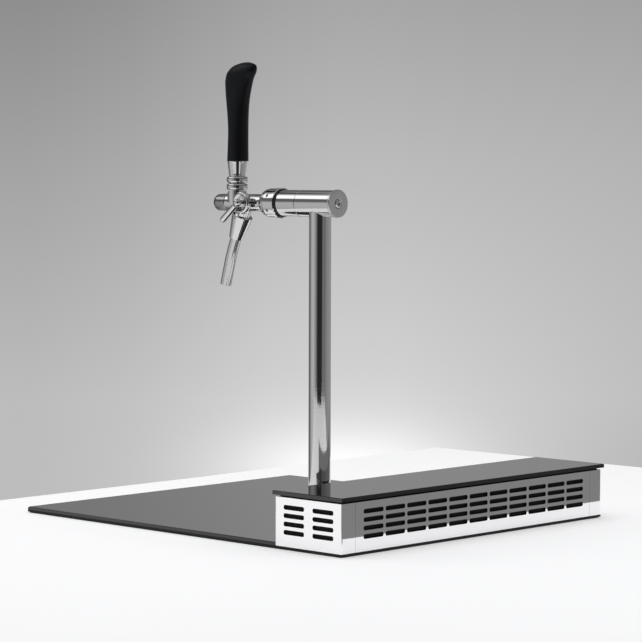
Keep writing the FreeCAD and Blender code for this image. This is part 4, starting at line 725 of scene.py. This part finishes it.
# %% Dial, nut and lever
SIDEWAYS = (0, -1, 0)
dial_x = float(np.array(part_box("lever_knob"))[:, 0].mean())
dial_face = (dial_x, float(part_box("compensator_hub")[0][1]), head_z)
turned_skin("dial", "compensator_hub", [
    (-19, 0, 0), (-19, 2.95, 0.3), (-6, 2.95, 0.1), (-6, 14.4, 0.5), (-1.6, 14.4, 1.2),
    (0, 12.6, 1.0), (0, 11.0, 0.8), (-1.4, 8.6, 1.2), (-1.4, 5.0, 0.4), (-0.4, 4.2, 0.2),
    (-0.4, 0, 0)], dial_face, SIDEWAYS)
turned_skin("dial_nut", "lever_knob", [
    (-3, 0, 0), (-3, 1.8, 0.1), (0, 1.8, 0.1), (0, 5.2, 0.5), (5.2, 5.2, 1.6), (9, 3.4, 2.6),
    (9, 0, 0)], dial_face, SIDEWAYS)
DROP = math.radians(40)
lever_way = (-math.cos(DROP), 0, -math.sin(DROP))
lever_y = float(np.array(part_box("compensator_lever"))[:, 1].mean())
turned_skin("finger_lever", "compensator_lever", [
    (3.2, 0, 0), (3.2, 1.7, 0.2), (5.0, 1.7, 0.1), (5.0, 3.3, 0.8), (14, 3.7, 3), (30, 4.1, 3),
    (37, 4.1, 3.6), (37, 0, 0)], (dial_x, lever_y, head_z), lever_way)

# %% [markdown]
# Behind the slots lies a thin, nearly black sheet with a matt grain. It is painted shade: it stands
# in for the dark inside of the box, which is why every slot looks pitch black. It is one strip that
# runs along the front end, round the corner, along the long side and round the second corner. Its
# surface is a grid along the strip and up its height, roughened by sums of sines, and Solidify
# gives it its thickness.

# %% Black sheet of painted shade behind the slots
MAT_GAP, MAT_THICK, MAT_BEND = 2.2 * MM, 0.8 * MM, 3 * MM
MAT_MARGIN = 4 * MM
MAT_STEPS, MAT_LEVELS = 620, 50


def strip_path(low, high, bend, along):
    """Points spaced evenly along a U of three runs joined by quarter circles."""
    turn = np.linspace(0, np.pi / 2, 9)[:, None]
    first = np.array([high[0] - bend, low[1] + bend])
    second = np.array([high[0] - bend, high[1] - bend])
    route = np.vstack([[low[0], low[1]], first + bend * np.hstack([np.sin(turn), -np.cos(turn)]),
                       second + bend * np.hstack([np.cos(turn), np.sin(turn)]),
                       [low[0], high[1]]])
    run = np.concatenate([[0], np.cumsum(np.linalg.norm(np.diff(route, axis=0), axis=1))])
    places = np.linspace(0, run[-1], along)
    return np.column_stack([np.interp(places, run, route[:, axis]) for axis in (0, 1)])


mat_low = np.array([box_low[0] + MAT_MARGIN, box_low[1] + MAT_GAP])
mat_high = np.array([box_high[0] - MAT_GAP, box_high[1] - MAT_GAP])
mat_line = strip_path(mat_low, mat_high, MAT_BEND, MAT_STEPS)
levels = np.linspace(box_low[2] + MAT_MARGIN, box_high[2] - MAT_MARGIN, MAT_LEVELS)
number = np.arange(len(mat_line))[:, None]
rough = 0.12 * MM * (np.sin(number * 1.9) * np.sin(levels[None] * 2900)
                     + np.sin(number * 0.7 + levels[None] * 1700))
along = np.gradient(mat_line, axis=0)
inwards = (np.column_stack([-along[:, 1], along[:, 0]])
           / np.linalg.norm(along, axis=1)[:, None])
mat = np.concatenate([
    mat_line[:, None, :] + inwards[:, None, :] * (np.abs(rough)[..., None]),
    np.broadcast_to(levels[None, :, None], (len(mat_line), len(levels), 1))], axis=-1)
index = np.arange(mat.shape[0] * mat.shape[1]).reshape(mat.shape[:2])
quads = np.stack([index[:-1, :-1], index[1:, :-1], index[1:, 1:], index[:-1, 1:]], axis=-1)
shade_sheet = new_object("shade_sheet", mat, quads.reshape(-1, 4))
thick = shade_sheet.modifiers.new("thickness", "SOLIDIFY")
thick.thickness = MAT_THICK
thick.offset = -1
# Painted shade: a nearly black, matt finish for the dark inside of the box.
shade_sheet_finish = moulded("black_shade_sheet", (0.0015, 0.0015, 0.0015), 0.95, 3000, 0.0004)
shade_sheet.data.materials.append(shade_sheet_finish)
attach(shade_sheet, "base")
print("dust mat:", len(shade_sheet.data.polygons), "faces")

# %% [markdown]
# Every slot was punched and its edge rolled smooth. A rolled edge is a bead that follows the
# slot's outline: a small round section carried along a rounded rectangle. One bead is worked
# out, and numpy copies it to all slots of a panel at once by adding the slots' middles.

# %% Rolled slot edges
SLOT_HEIGHT, SLOT_CORNER = 5, 2
LONG_SLOT, END_SLOT = 34.6, 33.6
LOWEST_ROW, ROW_PITCH, ROWS = 17.7, 10.2, 4
COLUMN_PITCH, COLUMNS, END_COLUMN = 39.2, 11, 24.3
BEAD, SET_BACK = 0.26, 0.2
# Painted shade: the beads' steel tone of 0.07 is nearly black, for the shade at the slot mouths.
shaded_slot_edge = polished_steel("shaded_slot_edge", 0.07, (1, 1, 1), 0.25, 0.4, 0.00002)


def slot_outline(length, per_corner=7):
    """A rounded rectangle and its outward directions: four quarter circles, one per corner."""
    turn = (np.linspace(0, np.pi / 2, per_corner)[None]
            + np.arange(4)[:, None] * np.pi / 2)
    signs = np.array([(1, 1), (-1, 1), (-1, -1), (1, -1)])
    middles = signs * np.array([length / 2 - SLOT_CORNER, SLOT_HEIGHT / 2 - SLOT_CORNER])
    way = np.stack([np.cos(turn), np.sin(turn)], axis=-1)
    return (middles[:, None] + SLOT_CORNER * way).reshape(-1, 2), way.reshape(-1, 2)


def slot_beads(name, middles, length, across, outward):
    """Beads round slots: outline + outward direction * (set back + r cos) + face direction
    * 0.7 r sin, so a bead is a little flatter than round."""
    line, way = slot_outline(length)
    section = np.linspace(0, 2 * np.pi, 8, endpoint=False)
    flat = line[None] + way[None] * (SET_BACK + BEAD * np.cos(section))[:, None, None]
    proud = np.broadcast_to((BEAD * 0.7 * np.sin(section))[:, None], flat.shape[:2])
    across, outward, upward = (np.array(side, float) for side in (across, outward, UP))
    one = (flat[..., :1] * across + flat[..., 1:] * upward + proud[..., None] * outward) * MM
    count, around = one.shape[:2]
    index = np.arange(count * around).reshape(count, around)
    quads = np.stack([index, np.roll(index, -1, 1), np.roll(np.roll(index, -1, 1), -1, 0),
                      np.roll(index, -1, 0)], axis=-1).reshape(-1, 4)
    points = middles[:, None, :] + one.reshape(-1, 3)[None]
    faces = quads[None] + (np.arange(len(middles)) * count * around)[:, None, None]
    made = smooth_object(name, points, faces)
    made.data.materials.append(shaded_slot_edge)
    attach(made, "base")
    print(name, "beads:", len(middles))


rows = box_low[2] + (LOWEST_ROW + ROW_PITCH * np.arange(ROWS)) * MM
long_places = COLUMN_PITCH * MM * (np.arange(COLUMNS) - COLUMNS // 2)
long_middles = np.array([(box_high[0], y, z) for y in long_places for z in rows])
slot_beads("long_slot_edges", long_middles, LONG_SLOT, (0, 1, 0), (1, 0, 0))
box_middle = (box_low[0] + box_high[0]) / 2
for label, y, outward in (("front", box_low[1], -1), ("rear", box_high[1], 1)):
    middles = np.array([(box_middle + side * END_COLUMN * MM, y, z)
                        for side in (-1, 1) for z in rows])
    slot_beads(label + "_slot_edges", middles, END_SLOT, (1, 0, 0), (0, outward, 0))
